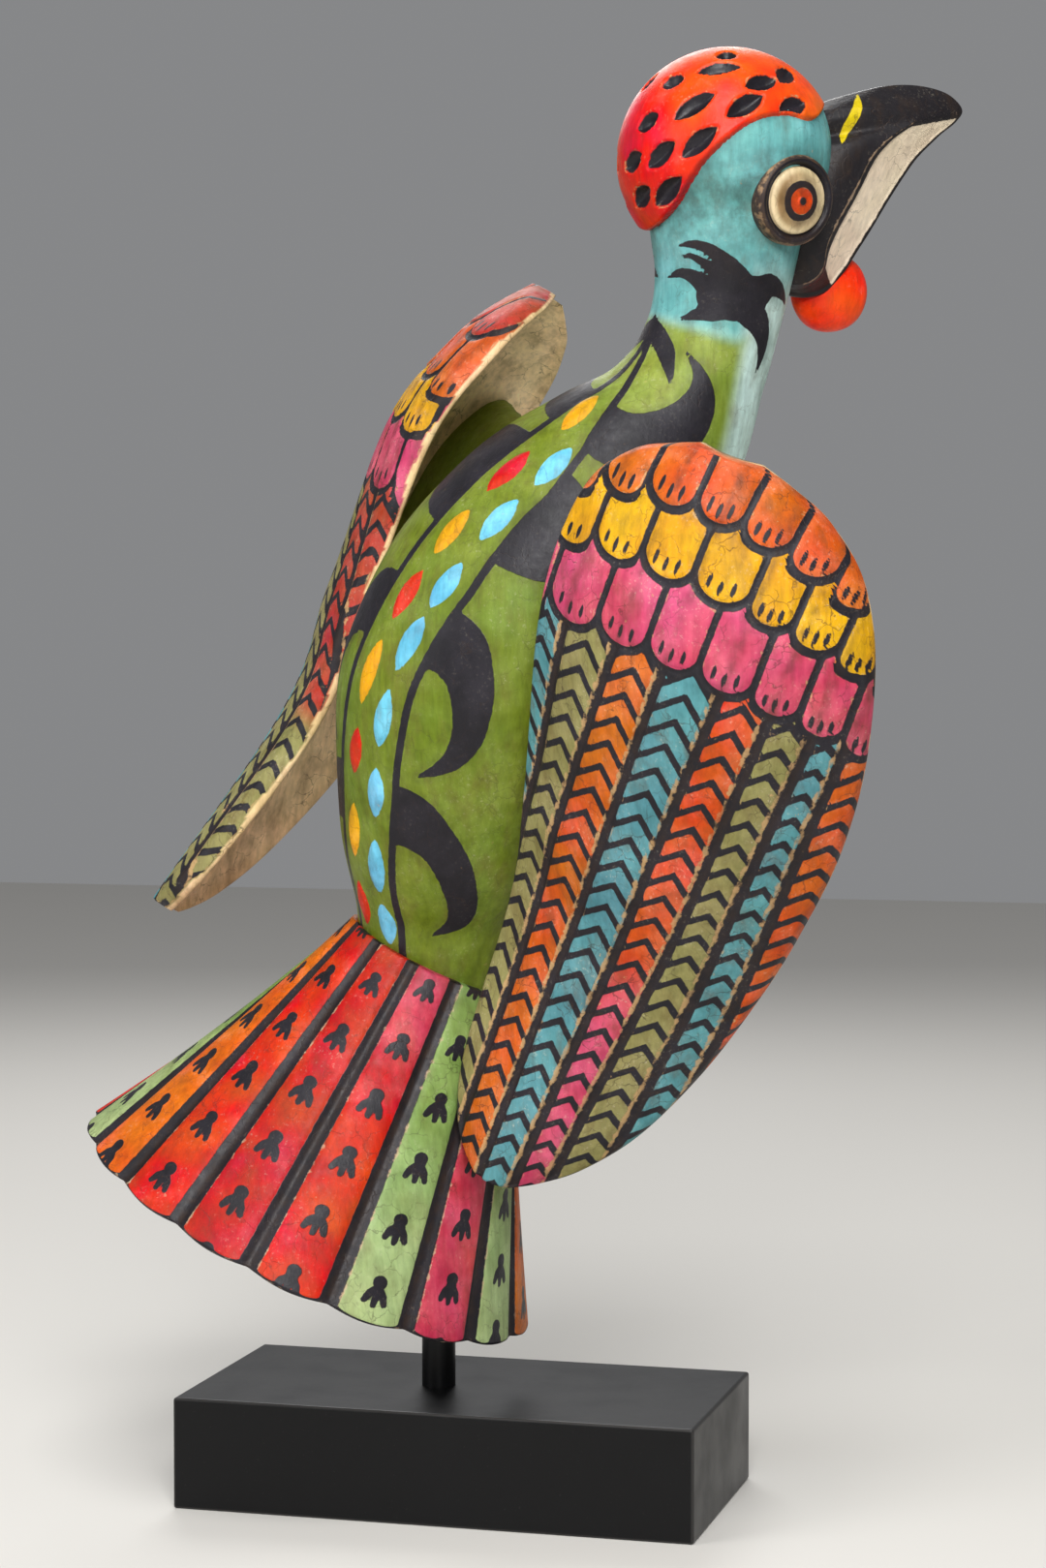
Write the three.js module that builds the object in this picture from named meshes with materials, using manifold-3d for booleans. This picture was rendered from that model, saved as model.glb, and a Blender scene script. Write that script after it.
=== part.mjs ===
// Carved and painted wooden rooster puppet on a black block with a rod.
// Millimetres, +Z up, origin at the middle of the block's underside.
// The figure's own frame has x to the right of its show side, y away from it and z up,
// and it stands turned on the block about the rod.
import * as THREE from 'three';
import { mergeVertices } from 'three/addons/utils/BufferGeometryUtils.js';
import Module from 'manifold-3d';

const wasm = await Module();
wasm.setup();

const degree = Math.PI / 180;
const gap = 0.3;

// Display block and rod
const block = { length: 200, depth: 102, height: 42, chamfer: 1.2 };
const rodRadius = 6.4;
const rodPlace = { x: -10, y: -3 };
const rodSeatInBlock = 16;
const rodTop = 204;
const showTurn = 15 * degree;

// Pose of the carved bird: its forward, left and up directions in the figure's frame
const birdCentre = new THREE.Vector3(17, -18, 300);
const birdHeading = 37 * degree;
const birdPitch = 17 * degree;
const birdRoll = 20 * degree;

// Body and neck: centre line and radius, from the tail end up to the throat
const bodyStations = [
  { x: 1, y: 0, z: 165, radius: 3 },
  { x: 1, y: 0, z: 169, radius: 15 },
  { x: 1, y: 0, z: 182, radius: 25 },
  { x: 1, y: 0, z: 203, radius: 29.5 },
  { x: 2, y: -3, z: 225, radius: 33 },
  { x: 5, y: -9, z: 250, radius: 42 },
  { x: 11, y: -14, z: 279, radius: 50 },
  { x: 18, y: -18, z: 307, radius: 55 },
  { x: 31, y: -21, z: 334, radius: 55.5 },
  { x: 50, y: -24, z: 363, radius: 50 },
  { x: 72, y: -27, z: 388, radius: 40.5 },
  { x: 88, y: -28, z: 408, radius: 30.5 },
  { x: 97.5, y: -29, z: 427, radius: 25 },
  { x: 103, y: -30, z: 444, radius: 24 },
  { x: 106, y: -31, z: 461, radius: 25.5 },
  { x: 107, y: -32, z: 477, radius: 28.5 },
  { x: 108, y: -32, z: 490, radius: 32.5 },
  { x: 108, y: -32, z: 502, radius: 33 },
];
const bodySides = 26;
const bodyRings = 25;

// Head, in a frame of its own: x forward, y to the bird's left, z up
const headCentre = new THREE.Vector3(108, -32, 505);
const headHeading = 15 * degree;
const headRoll = 8 * degree;
const headRadius = 37.5;
const combRadius = 40.6;
const combShift = { forward: -0.7, up: -2.5 };
const combEdge = [[-34, -62], [-30, -28], [-21, -4], [-4, 11], [10, 14], [22, 12.5], [34, 19], [60, 30]];
const combPole = Math.atan2(0.8, -0.6);
const gougeRows = [
  { fromPole: 66, count: 13, length: 17 },
  { fromPole: 46, count: 9, length: 19 },
  { fromPole: 26, count: 5, length: 19 },
  { fromPole: 0, count: 1, length: 14 },
];
const gougeWidth = 8;
const gougeDepth = 3.4;
const wattle = { forward: 42, left: 0, up: -50.5, radius: 14.8, halfWidth: 11 };

// Beak as sections round the head's centre: angle above level, reach of the ridge,
// reach of the raised rim beside the mouth and the rim's half width
const beakSections = [
  { angle: -73, ridge: 44, rim: 39, half: 7 },
  { angle: -62, ridge: 58.5, rim: 53, half: 11 },
  { angle: -52, ridge: 63.5, rim: 53, half: 14.5 },
  { angle: -43, ridge: 62.8, rim: 46.5, half: 16 },
  { angle: -31, ridge: 61.7, rim: 43.5, half: 17.5 },
  { angle: -14, ridge: 64.3, rim: 44.5, half: 18 },
  { angle: -1, ridge: 71.5, rim: 48, half: 17.5 },
  { angle: 6, ridge: 81, rim: 54, half: 16.5 },
  { angle: 9.5, ridge: 89, rim: 61, half: 14.5 },
  { angle: 12, ridge: 91.8, rim: 68, half: 12.5 },
  { angle: 15.5, ridge: 88.5, rim: 63, half: 12.5 },
  { angle: 19.5, ridge: 80, rim: 54, half: 12.5 },
  { angle: 23.7, ridge: 66.5, rim: 44, half: 11.5 },
  { angle: 26.5, ridge: 52, rim: 37, half: 11 },
  { angle: 30, ridge: 36, rim: 30, half: 8 },
];
const beakRoot = 20;
const beakRidgeHalf = 1.4;

// Eyes: turned discs with a domed middle and a nail
const eye = { ring: 16.4, ringHeight: 5, groove: 13.6, dish: 12.4, dome: 7.3, nail: 1.3, seat: 4 };
const eyePlace = { forward: 14, up: -16, out: 30, turnForward: 17 * degree, turnDown: 3 * degree };

// Wings: one board shape for both sides, each with its own pose in the bird's frame
const wing = { length: 283, halfWidth: 58, bow: 20.5, camber: 22.5, thickness: 8 };
const wingWidths = [[0, 0.16], [0.015, 0.33], [0.04, 0.55], [0.1, 0.8], [0.19, 0.94], [0.3, 1], [0.42, 0.99],
  [0.54, 0.93], [0.66, 0.86], [0.78, 0.785], [0.88, 0.67], [0.95, 0.48], [0.985, 0.28], [1, 0.14]];
const wingBend = [[0, 0], [0.12, 15.5], [0.25, 22.5], [0.5, 10], [0.75, -2], [1, 0]];
const wingPoses = {
  right: { forward: 0.5, out: 97.5, up: -11, sweep: 49.5, splay: -12, twist: -5, taper: -0.27, frontTrim: 0 },
  left: { forward: -16.5, out: 97, up: 9.5, sweep: 43, splay: 5, twist: 8.5, taper: -0.54, frontTrim: 0.16 },
};
const shoulderReach = 0.08;
const wingFeathers = 8;
const wingRows = 14;
const flute = 0.9;

// Shoulder flanges: carved webs that run from the body's side to the wing's inner face
const flange = { from: 0.14, to: 0.52, acrossTop: 0.82, acrossFoot: 0.4, edgeHalf: 2.4, rootHalf: 10, steps: 5 };

// Tail: a curved fan of feathers between a ring on the body's end and a wide rim
const tail = { ringRadius: 34.5, rimRadius: 92, length: 113.5, thickness: 5.5, bulge: 0.3 };
const tailRing = new THREE.Vector3(-0.7, 0, 207);
const tailFeathers = 11;
const featherAngle = 20;
const tailRightEdge = 92.5;
const ringSpread = 1.5;
const ringShift = 1;
const tailToSide = -53;
const grooveHalf = 1.7;
const grooveDepth = 2;
const tailRows = 5;

function smooth(points, steps) {
  // Values along a smooth curve through [position, value] pairs
  const path = new THREE.CatmullRomCurve3(points.map((p) => new THREE.Vector3(p[0], p[1], 0)), false, 'centripetal');
  const table = path.getPoints(steps ?? 200);
  return (position) => {
    const next = table.findIndex((p) => p.x >= position);
    if (next <= 0) return next === 0 ? table[0].y : table[table.length - 1].y;
    const a = table[next - 1];
    const b = table[next];
    return a.y + (b.y - a.y) * (position - a.x) / (b.x - a.x);
  };
}

function closedGeometry(positions, triangles) {
  const geometry = new THREE.BufferGeometry();
  geometry.setAttribute('position', new THREE.Float32BufferAttribute(positions.flatMap((p) => [p.x, p.y, p.z]), 3));
  geometry.setIndex(triangles.flat());
  return geometry;
}

function loft(rings) {
  // Closed solid through rings of points, with a fan at each end
  const sides = rings[0].length;
  const positions = rings.flat();
  const triangles = [];
  for (let r = 0; r < rings.length - 1; r += 1) {
    for (let i = 0; i < sides; i += 1) {
      const j = (i + 1) % sides;
      triangles.push([r * sides + i, r * sides + j, (r + 1) * sides + j]);
      triangles.push([r * sides + i, (r + 1) * sides + j, (r + 1) * sides + i]);
    }
  }
  for (const end of [0, rings.length - 1]) {
    const middle = positions.length;
    const centre = new THREE.Vector3();
    for (const p of rings[end]) centre.addScaledVector(p, 1 / sides);
    positions.push(centre);
    for (let i = 0; i < sides; i += 1) {
      const j = (i + 1) % sides;
      const edge = [end * sides + i, end * sides + j];
      triangles.push(end === 0 ? [edge[1], edge[0], middle] : [edge[0], edge[1], middle]);
    }
  }
  return closedGeometry(positions, triangles);
}

function shell(outer, inner) {
  // Closed board between two grids of points of the same size
  const rows = outer.length;
  const columns = outer[0].length;
  const positions = [...outer.flat(), ...inner.flat()];
  const back = rows * columns;
  const triangles = [];
  const at = (r, c) => r * columns + c;
  const quad = (a, b, c, d) => triangles.push([a, b, c], [a, c, d]);
  for (let r = 0; r < rows - 1; r += 1) {
    for (let c = 0; c < columns - 1; c += 1) {
      quad(at(r, c), at(r + 1, c), at(r + 1, c + 1), at(r, c + 1));
      quad(back + at(r, c), back + at(r, c + 1), back + at(r + 1, c + 1), back + at(r + 1, c));
    }
    quad(at(r + 1, 0), at(r, 0), back + at(r, 0), back + at(r + 1, 0));
    quad(at(r, columns - 1), at(r + 1, columns - 1), back + at(r + 1, columns - 1), back + at(r, columns - 1));
  }
  for (let c = 0; c < columns - 1; c += 1) {
    quad(at(0, c), at(0, c + 1), back + at(0, c + 1), back + at(0, c));
    quad(at(rows - 1, c + 1), at(rows - 1, c), back + at(rows - 1, c), back + at(rows - 1, c + 1));
  }
  return closedGeometry(positions, triangles);
}

function toSolid(geometry, matrix) {
  const bare = geometry.clone();
  bare.deleteAttribute('normal');
  bare.deleteAttribute('uv');
  if (matrix) bare.applyMatrix4(matrix);
  const merged = mergeVertices(bare, 1e-4);
  const solid = new wasm.Manifold(new wasm.Mesh({
    numProp: 3,
    vertProperties: new Float32Array(merged.attributes.position.array),
    triVerts: new Uint32Array(merged.index.array),
  }));
  return solid;
}

function toGeometry(solid) {
  const mesh = solid.getMesh();
  const geometry = new THREE.BufferGeometry();
  geometry.setAttribute('position', new THREE.Float32BufferAttribute(mesh.vertProperties, 3));
  geometry.setIndex(Array.from(mesh.triVerts));
  return geometry;
}

function solidOf(geometry, matrix) {
  // A loft may come out turned inside out, which its volume tells
  const solid = toSolid(geometry, matrix);
  if (solid.volume() > 0) return solid;
  const turned = geometry.clone();
  const index = Array.from(turned.index.array);
  for (let i = 0; i < index.length; i += 3) [index[i], index[i + 1]] = [index[i + 1], index[i]];
  turned.setIndex(index);
  return toSolid(turned, matrix);
}

function pose(place, yaw, pitch, roll) {
  const turn = new THREE.Euler(roll, pitch, yaw, 'ZYX');
  const spin = new THREE.Quaternion().setFromEuler(turn);
  return new THREE.Matrix4().compose(place, spin, new THREE.Vector3(1, 1, 1));
}

const birdPose = pose(birdCentre, birdHeading, birdPitch, birdRoll);
const headPose = pose(headCentre, headHeading, 0, headRoll);

function material(colour, roughness, metalness) {
  return new THREE.MeshStandardMaterial({ color: colour, roughness, metalness });
}

const blackLacquer = material('#141416', 0.38, 0);
const blackMetal = material('#17181a', 0.35, 0.8);
const greenPaint = material('#66803a', 0.5, 0);
const orangePaint = material('#c9622f', 0.5, 0);
const redPaint = material('#c8362a', 0.5, 0);
const creamPaint = material('#cbb58a', 0.5, 0);

function sampleStations(stations, count) {
  const path = new THREE.CatmullRomCurve3(stations.map((s) => new THREE.Vector3(s.x, s.y, s.z)), false, 'centripetal');
  const sized = new THREE.CatmullRomCurve3(
    stations.map((s, i) => new THREE.Vector3(i, s.radius, 0)), false, 'centripetal');
  const result = [];
  for (let i = 0; i <= count; i += 1) {
    const u = i / count;
    const place = path.getPoint(u);
    result.push({ place, along: path.getTangent(u), radius: sized.getPoint(u).y });
  }
  return result;
}

function bodyGeometry(extra) {
  const side = new THREE.Vector3(0, 1, 0);
  const rings = sampleStations(bodyStations, bodyRings).map((station) => {
    const across = new THREE.Vector3().crossVectors(side, station.along).normalize();
    const depth = new THREE.Vector3().crossVectors(station.along, across);
    const ring = [];
    for (let i = 0; i < bodySides; i += 1) {
      const angle = i / bodySides * 2 * Math.PI;
      ring.push(station.place.clone()
        .addScaledVector(across, Math.cos(angle) * (station.radius + extra))
        .addScaledVector(depth, Math.sin(angle) * (station.radius + extra)));
    }
    return ring;
  });
  return loft(rings);
}

function wingSurface(side, along, across, depth) {
  // Point of a wing board: along 0 at its top to 1 at its tip, across -1 behind to 1 in front
  const board = wingPoses[side];
  const half = wing.halfWidth * wingWidth(along) * (1 + board.taper * (along - 0.5));
  const fullness = half / wing.halfWidth;
  const trim = across > 0 ? board.frontTrim * (1 + 2 * Math.exp(-along / shoulderReach)) : 0;
  const x = wing.bow * Math.sin(Math.PI * along) + half * across * (1 - trim);
  const out = wingRise(along) - wing.camber * across * across * fullness - depth;
  const z = (0.5 - along) * wing.length;
  const turn = new THREE.Euler(board.splay * degree, board.twist * degree, board.sweep * degree, 'ZXY');
  const point = new THREE.Vector3(x, out, z).applyEuler(turn);
  point.add(new THREE.Vector3(board.forward, board.out, board.up));
  if (side === 'right') point.y = -point.y;
  return point.applyMatrix4(birdPose);
}

const wingWidth = smooth(wingWidths);
const wingRise = smooth(wingBend);

function wingGeometry(side, spare) {
  const outer = [];
  const inner = [];
  for (let r = 0; r <= wingRows; r += 1) {
    const along = (1 - Math.cos(Math.PI * r / wingRows)) / 2;
    const top = [];
    const under = [];
    for (let c = 0; c <= wingFeathers * 2; c += 1) {
      const across = c / wingFeathers - 1;
      const hollow = c % 2 === 0 ? flute : 0;
      top.push(wingSurface(side, along, across, hollow - spare));
      under.push(wingSurface(side, along, across, wing.thickness + spare));
    }
    outer.push(top);
    inner.push(under);
  }
  return shell(outer, inner);
}

function flangeEdge(side, share) {
  const along = flange.from + (flange.to - flange.from) * share;
  const across = flange.acrossTop + (flange.acrossFoot - flange.acrossTop) * Math.sqrt(share);
  return wingSurface(side, along, across, wing.thickness * 0.6);
}

function flangeGeometry(side) {
  const topRoot = nearestAxis(flangeEdge(side, 0));
  const footRoot = nearestAxis(flangeEdge(side, 1));
  const run = footRoot.clone().sub(topRoot);
  const web = flangeEdge(side, 0.5).sub(topRoot.clone().lerp(footRoot, 0.5));
  const thick = new THREE.Vector3().crossVectors(web, run).normalize();
  const rings = [];
  for (let i = 0; i <= flange.steps; i += 1) {
    const share = i / flange.steps;
    const edge = flangeEdge(side, share);
    const root = topRoot.clone().lerp(footRoot, share);
    rings.push([
      edge.clone().addScaledVector(thick, flange.edgeHalf), root.clone().addScaledVector(thick, flange.rootHalf),
      root.clone().addScaledVector(thick, -flange.rootHalf), edge.clone().addScaledVector(thick, -flange.edgeHalf),
    ]);
  }
  return loft(rings);
}

function flangeSolid(side) {
  return solidOf(flangeGeometry(side)).subtract(solidOf(wingGeometry(side, gap)));
}

function nearestAxis(point) {
  let best = null;
  for (const station of sampleStations(bodyStations, 60)) {
    if (!best || station.place.distanceTo(point) < best.distanceTo(point)) best = station.place;
  }
  return best.clone();
}

function headSolid() {
  const ball = (radius, wide, high) => new THREE.SphereGeometry(radius, wide, high);
  const skull = solidOf(ball(headRadius, 20, 14), headPose);
  const outline = new THREE.Shape(new THREE.SplineCurve(combEdge.map((p) => new THREE.Vector2(p[0], p[1])))
    .getPoints(18));
  outline.lineTo(80, -80);
  outline.lineTo(-34, -80);
  const face = new THREE.ExtrudeGeometry(outline, { depth: 100, bevelEnabled: false });
  const faceTurn = new THREE.Matrix4().makeRotationX(Math.PI / 2).setPosition(0, 50, 0);
  const combTurn = new THREE.Matrix4().makeTranslation(combShift.forward, 0, combShift.up);
  let comb = solidOf(ball(combRadius, 20, 12), headPose.clone().multiply(combTurn))
    .subtract(solidOf(face, headPose.clone().multiply(faceTurn)));
  for (const gouge of gougeMatrices()) {
    comb = comb.subtract(solidOf(new THREE.SphereGeometry(1, 6, 3), headPose.clone().multiply(combTurn).multiply(gouge)));
  }
  return skull.add(comb);
}

function gougeMatrices() {
  // Boat-shaped cuts in rows round the comb's pole, lying along each row
  const result = [];
  const pole = new THREE.Matrix4().makeRotationY(Math.PI / 2 - combPole);
  gougeRows.forEach((row, index) => {
    for (let i = 0; i < row.count; i += 1) {
      const round = (i + 0.5 * (index % 2)) / row.count * 2 * Math.PI;
      const cut = new THREE.Matrix4().makeRotationZ(round)
        .multiply(new THREE.Matrix4().makeRotationY(row.fromPole * degree))
        .multiply(new THREE.Matrix4().makeTranslation(0, 0, combRadius))
        .multiply(new THREE.Matrix4().makeScale(gougeWidth / 2, row.length / 2, gougeDepth));
      result.push(pole.clone().multiply(cut));
    }
  });
  return result;
}

function beakSolid() {
  const rings = beakSections.map((section) => {
    const level = section.angle * degree;
    const point = (reach, left) => new THREE.Vector3(
      reach * Math.cos(level), left, reach * Math.sin(level)).applyMatrix4(headPose);
    return [
      point(beakRoot, -section.half * 0.7), point(section.rim * 0.6 + 8, -section.half * 1.02),
      point(section.rim, -section.half),
      point(section.ridge, -beakRidgeHalf), point(section.ridge, beakRidgeHalf),
      point(section.rim, section.half), point(section.rim * 0.6 + 8, section.half * 1.02),
      point(beakRoot, section.half * 0.7),
    ];
  });
  return solidOf(loft(rings));
}

function wattleSolid() {
  const place = new THREE.Matrix4().compose(
    new THREE.Vector3(wattle.forward, wattle.left, wattle.up), new THREE.Quaternion(),
    new THREE.Vector3(wattle.radius, wattle.halfWidth, wattle.radius));
  return solidOf(new THREE.SphereGeometry(1, 20, 14), headPose.clone().multiply(place));
}

function eyeMatrix(side) {
  // Local +Z points out of the head, and the eye's foot is at its origin
  const hand = side === 'left' ? 1 : -1;
  const outwards = new THREE.Vector3(
    Math.sin(eyePlace.turnForward), hand * Math.cos(eyePlace.turnForward), -Math.sin(eyePlace.turnDown));
  const spin = new THREE.Quaternion().setFromUnitVectors(new THREE.Vector3(0, 0, 1), outwards.normalize());
  const foot = new THREE.Vector3(eyePlace.forward, hand * eyePlace.out, eyePlace.up);
  return headPose.clone().multiply(new THREE.Matrix4().compose(foot, spin, new THREE.Vector3(1, 1, 1)));
}

function eyeGeometry() {
  const h = eye.ringHeight;
  const profile = [[0, -eye.seat], [eye.ring - 1, -eye.seat], [eye.ring, h - 1.5], [eye.ring - 1.2, h],
    [eye.groove, h], [eye.dish + 0.4, h - 1.6], [eye.dish, h + 0.6], [eye.dome, h + 2.6],
    [eye.nail, h + 3.6], [eye.nail, h + 4.2], [0, h + 4.4]];
  const geometry = new THREE.LatheGeometry(profile.map((p) => new THREE.Vector2(p[0], p[1])), 18);
  return geometry.applyMatrix4(new THREE.Matrix4().makeRotationX(Math.PI / 2));
}

function eyeSocket(side) {
  const depth = 40;
  const geometry = new THREE.CylinderGeometry(eye.ring + gap, eye.ring + gap, depth, 40);
  const rise = new THREE.Matrix4().makeRotationX(Math.PI / 2).setPosition(0, 0, depth / 2 - eye.seat - gap);
  return solidOf(geometry, eyeMatrix(side).multiply(rise));
}

function tailPoint(rim, share, depth) {
  // Point of the fan: angle at the rim in degrees, share 0 at the ring to 1 at the rim
  const spot = (angle, radius, drop) => new THREE.Vector3(
    -Math.cos((angle - tailToSide) * degree) * radius, -Math.sin((angle - tailToSide) * degree) * radius, drop);
  const point = spot(rim * ringSpread + ringShift, tail.ringRadius - depth, 0)
    .lerp(spot(rim, tail.rimRadius - depth, -tail.length), share);
  const swell = 1 + tail.bulge * Math.sin(Math.PI * share) / tail.rimRadius;
  point.multiply(new THREE.Vector3(swell, swell, 1));
  return point.applyMatrix4(new THREE.Matrix4().extractRotation(birdPose)).add(tailRing);
}

function tailGeometry() {
  const outer = [];
  const inner = [];
  for (let r = 0; r <= tailRows; r += 1) {
    const share = r / tailRows;
    const top = [];
    const under = [];
    for (let f = 0; f <= tailFeathers; f += 1) {
      const edge = tailRightEdge - f * featherAngle;
      const shifts = f === 0 || f === tailFeathers ? [0] : [grooveHalf, 0, -grooveHalf];
      for (const shift of shifts) {
        const hollow = shift === 0 && shifts.length > 1 ? grooveDepth : 0;
        top.push(tailPoint(edge + shift, share, hollow));
        under.push(tailPoint(edge + shift, share, tail.thickness));
      }
    }
    outer.push(top);
    inner.push(under);
  }
  return shell(outer, inner);
}

function cylinderSolid(radius, from, to, sides, place) {
  const geometry = new THREE.CylinderGeometry(radius, radius, to - from, sides);
  const upright = new THREE.Matrix4().makeRotationX(Math.PI / 2).setPosition(place.x, place.y, (from + to) / 2);
  return solidOf(geometry, upright);
}

function blockSolid() {
  const c = block.chamfer;
  const outline = new THREE.Shape();
  const x = block.length / 2 - c;
  const y = block.depth / 2 - c;
  outline.moveTo(-x, -y);
  outline.lineTo(x, -y);
  outline.lineTo(x, y);
  outline.lineTo(-x, y);
  const geometry = new THREE.ExtrudeGeometry(outline, {
    depth: block.height - 2 * c, bevelEnabled: true, bevelThickness: c, bevelSize: c, bevelSegments: 1,
  });
  const solid = solidOf(geometry, new THREE.Matrix4().makeTranslation(0, 0, c));
  return solid.subtract(cylinderSolid(rodRadius + gap, block.height - rodSeatInBlock, block.height + 5, 32, rodPlace));
}

function part(name, geometry, finish) {
  const mesh = new THREE.Mesh(geometry, finish);
  mesh.name = name;
  return mesh;
}

const group = new THREE.Group();
group.add(part('base_block', toGeometry(blockSolid()), blackLacquer));

const figure = new THREE.Group();
figure.position.set(rodPlace.x, rodPlace.y, 0);
figure.rotation.z = showTurn;
group.add(figure);

const rodFoot = block.height - rodSeatInBlock + gap;
figure.add(part('rod', toGeometry(cylinderSolid(rodRadius, rodFoot, rodTop, 32, { x: 0, y: 0 })), blackMetal));

const socket = cylinderSolid(rodRadius + gap, 100, rodTop + gap, 32, { x: 0, y: 0 });
const body = solidOf(bodyGeometry(0))
  .add(flangeSolid('left')).add(flangeSolid('right'))
  .add(headSolid()).add(beakSolid()).add(wattleSolid())
  .subtract(eyeSocket('left')).subtract(eyeSocket('right'))
  .subtract(socket);
figure.add(part('body', toGeometry(body), greenPaint));

const bodyClear = solidOf(bodyGeometry(gap));
figure.add(part('tail', toGeometry(solidOf(tailGeometry()).subtract(bodyClear)), redPaint));

for (const side of ['left', 'right']) {
  const board = solidOf(wingGeometry(side, 0));
  figure.add(part('wing_' + side, toGeometry(board), orangePaint));
  const disc = part('eye_' + side, eyeGeometry(), creamPaint);
  eyeMatrix(side).decompose(disc.position, disc.quaternion, disc.scale);
  figure.add(disc);
}

export default group;
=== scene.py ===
"""Carved and painted wooden rooster puppet on a black block with a rod.

The figure's own frame is in millimetres: x to the right of its show side, y away from it, z up,
with the rod on the z axis. Pieces are shaped there and then placed on the block in metres.
Paint is laid on by numbers kept at each point of a mesh: its ground colour, how far it is from
a charcoal stroke, from a coloured spot and from a worn ridge (along some grooves and lips a
painted highlight line), and how much brown dirt and painted shade lies there.
"""
from math import cos, pi, radians, sin

import bmesh
import bpy
import numpy as np
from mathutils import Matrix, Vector


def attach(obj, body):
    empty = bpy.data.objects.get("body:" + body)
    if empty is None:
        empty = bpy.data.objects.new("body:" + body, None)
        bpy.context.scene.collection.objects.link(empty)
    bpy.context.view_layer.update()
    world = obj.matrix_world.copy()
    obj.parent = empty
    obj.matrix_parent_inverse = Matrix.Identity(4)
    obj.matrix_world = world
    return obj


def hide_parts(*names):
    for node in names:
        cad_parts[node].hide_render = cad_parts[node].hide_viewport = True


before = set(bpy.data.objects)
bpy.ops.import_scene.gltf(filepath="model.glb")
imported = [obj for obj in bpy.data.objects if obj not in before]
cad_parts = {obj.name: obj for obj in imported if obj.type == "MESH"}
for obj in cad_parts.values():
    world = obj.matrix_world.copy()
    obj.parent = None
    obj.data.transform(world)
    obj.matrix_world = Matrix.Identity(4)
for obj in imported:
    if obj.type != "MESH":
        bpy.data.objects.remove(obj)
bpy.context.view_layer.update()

MM = 0.001
ROD_PLACE = (-10.0, -3.0)
SHOW_TURN = radians(15)

# Camera
CAMERA_PLACE = (0.35746, -1.23491, 0.32587)
CAMERA_AZIMUTH = radians(15.175)
CAMERA_DOWN = radians(2.41)
CAMERA_FOCAL_PX = 3500.0
PHOTO_LONG_SIDE_PX = 1619.0
SENSOR_MM = 36.0

# Stand
BLOCK_SIZE = (200.0, 102.0, 42.0)
BLOCK_EDGE = 1.2
ROD_RADIUS, ROD_CHAMFER, ROD_SIDES = 6.4, 0.6, 72
ROD_FOOT, ROD_TOP = 26.3, 204.0

# Floor and lights: place and size in metres, power in watts
FLOOR_SIZE, FLOOR_COLOUR, FLOOR_ROUGH = 6, "#D9D6D0", 0.7
LIGHTS = (("key", (0.5, -1.55, 1.05), 0.6, 24.0), ("fill", (-1.2, -1.15, 0.9), 0.9, 11.0),
          ("top", (0.25, -0.9, 1.75), 0.6, 15.0), ("back", (-0.4, 1.2, 1.2), 0.8, 9.0))
LIGHTS_AIM = (0, 0, 0.3)
SKY, SKY_STRENGTH = (0.80, 0.81, 0.83, 1), 0.3

# Pose of the carved bird in the figure's frame, and of its head
BIRD_CENTRE = np.array((17.0, -18.0, 300.0))
BIRD_TURNS = (radians(37), radians(17), radians(20))
HEAD_CENTRE = np.array((108.0, -32.0, 505.0))
HEAD_TURNS = (radians(15), 0.0, radians(8))

# Body and neck: centre line and radius from the tail end up to the throat
BODY_STATIONS = np.array((
    (1, 0, 165, 3), (1, 0, 169, 15), (1, 0, 182, 25), (1, 0, 203, 29.5), (2, -3, 225, 33),
    (5, -9, 250, 42), (11, -14, 279, 50), (18, -18, 307, 55), (31, -21, 334, 55.5),
    (50, -24, 363, 50), (72, -27, 388, 40.5), (88, -28, 408, 30.5), (97.5, -29, 427, 25),
    (103, -30, 444, 24), (106, -31, 461, 25.5), (107, -32, 477, 28.5), (108, -32, 490, 32.5),
    (108, -32, 502, 33)))
BODY_RINGS, BODY_SIDES = 220, 128
CARVING_VOXEL = 1.5
CARVING_SMOOTH = 8

# Painted back: a band of spots down the spine between two lines, with hooks outside it.
# Places are millimetres up the body's centre line and outwards from the middle of the band.
BAND_MIDDLE = ((50, -7.5), (119, -8.6), (145, -11.5), (180, -15.8), (220, -15.8), (240, -12.2),
               (260, -6.7), (300, 9))
BAND_HALF = ((40, 11), (60, 13), (110, 16.5), (180, 17), (220, 14.5), (240, 11), (260, 5.5),
             (280, 2.8), (302, 0.3))
BAND_LINE = 1.6
LEFT_SPOTS = (248.5, 217.5, 192, 168, 144, 119, 91, 65)
RIGHT_SPOTS = (228.5, 204, 177, 156, 133, 107, 82, 60)
SPOT_OUT_LEFT, SPOT_OUT_RIGHT = 5.6, 7.2
SPOT_LONG, SPOT_WIDE, SPOT_RISE = 18.0, 8.2, 1.0
HOOK_ROOTS = (173, 113)
HOOK = ((-11, -2, 10.5), (-12, 8, 10), (-17, 16, 8.3), (-26, 22.5, 7.3), (-36, 24.3, 6),
        (-45, 21, 4), (-51, 15, 2.2), (-55, 8.5, 0.6))
WIDE_HOOK = ((211, 12, 20), (211, 26, 18), (213, 40, 13), (214, 52, 8), (212, 64, 2))
SHOULDER_HOOK = ((249, 4, 9), (250, 16, 10), (255, 25, 11), (263, 30, 10.5), (272, 32, 8),
                 (280, 31, 5.2), (287, 27, 2.5), (293, 19.5, 0.6))
NECK_HOOK = ((299, 0, 4), (296, 5, 4.5), (291, 11, 4), (285, 15.5, 2.2), (279, 19.5, 0.5))
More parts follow.
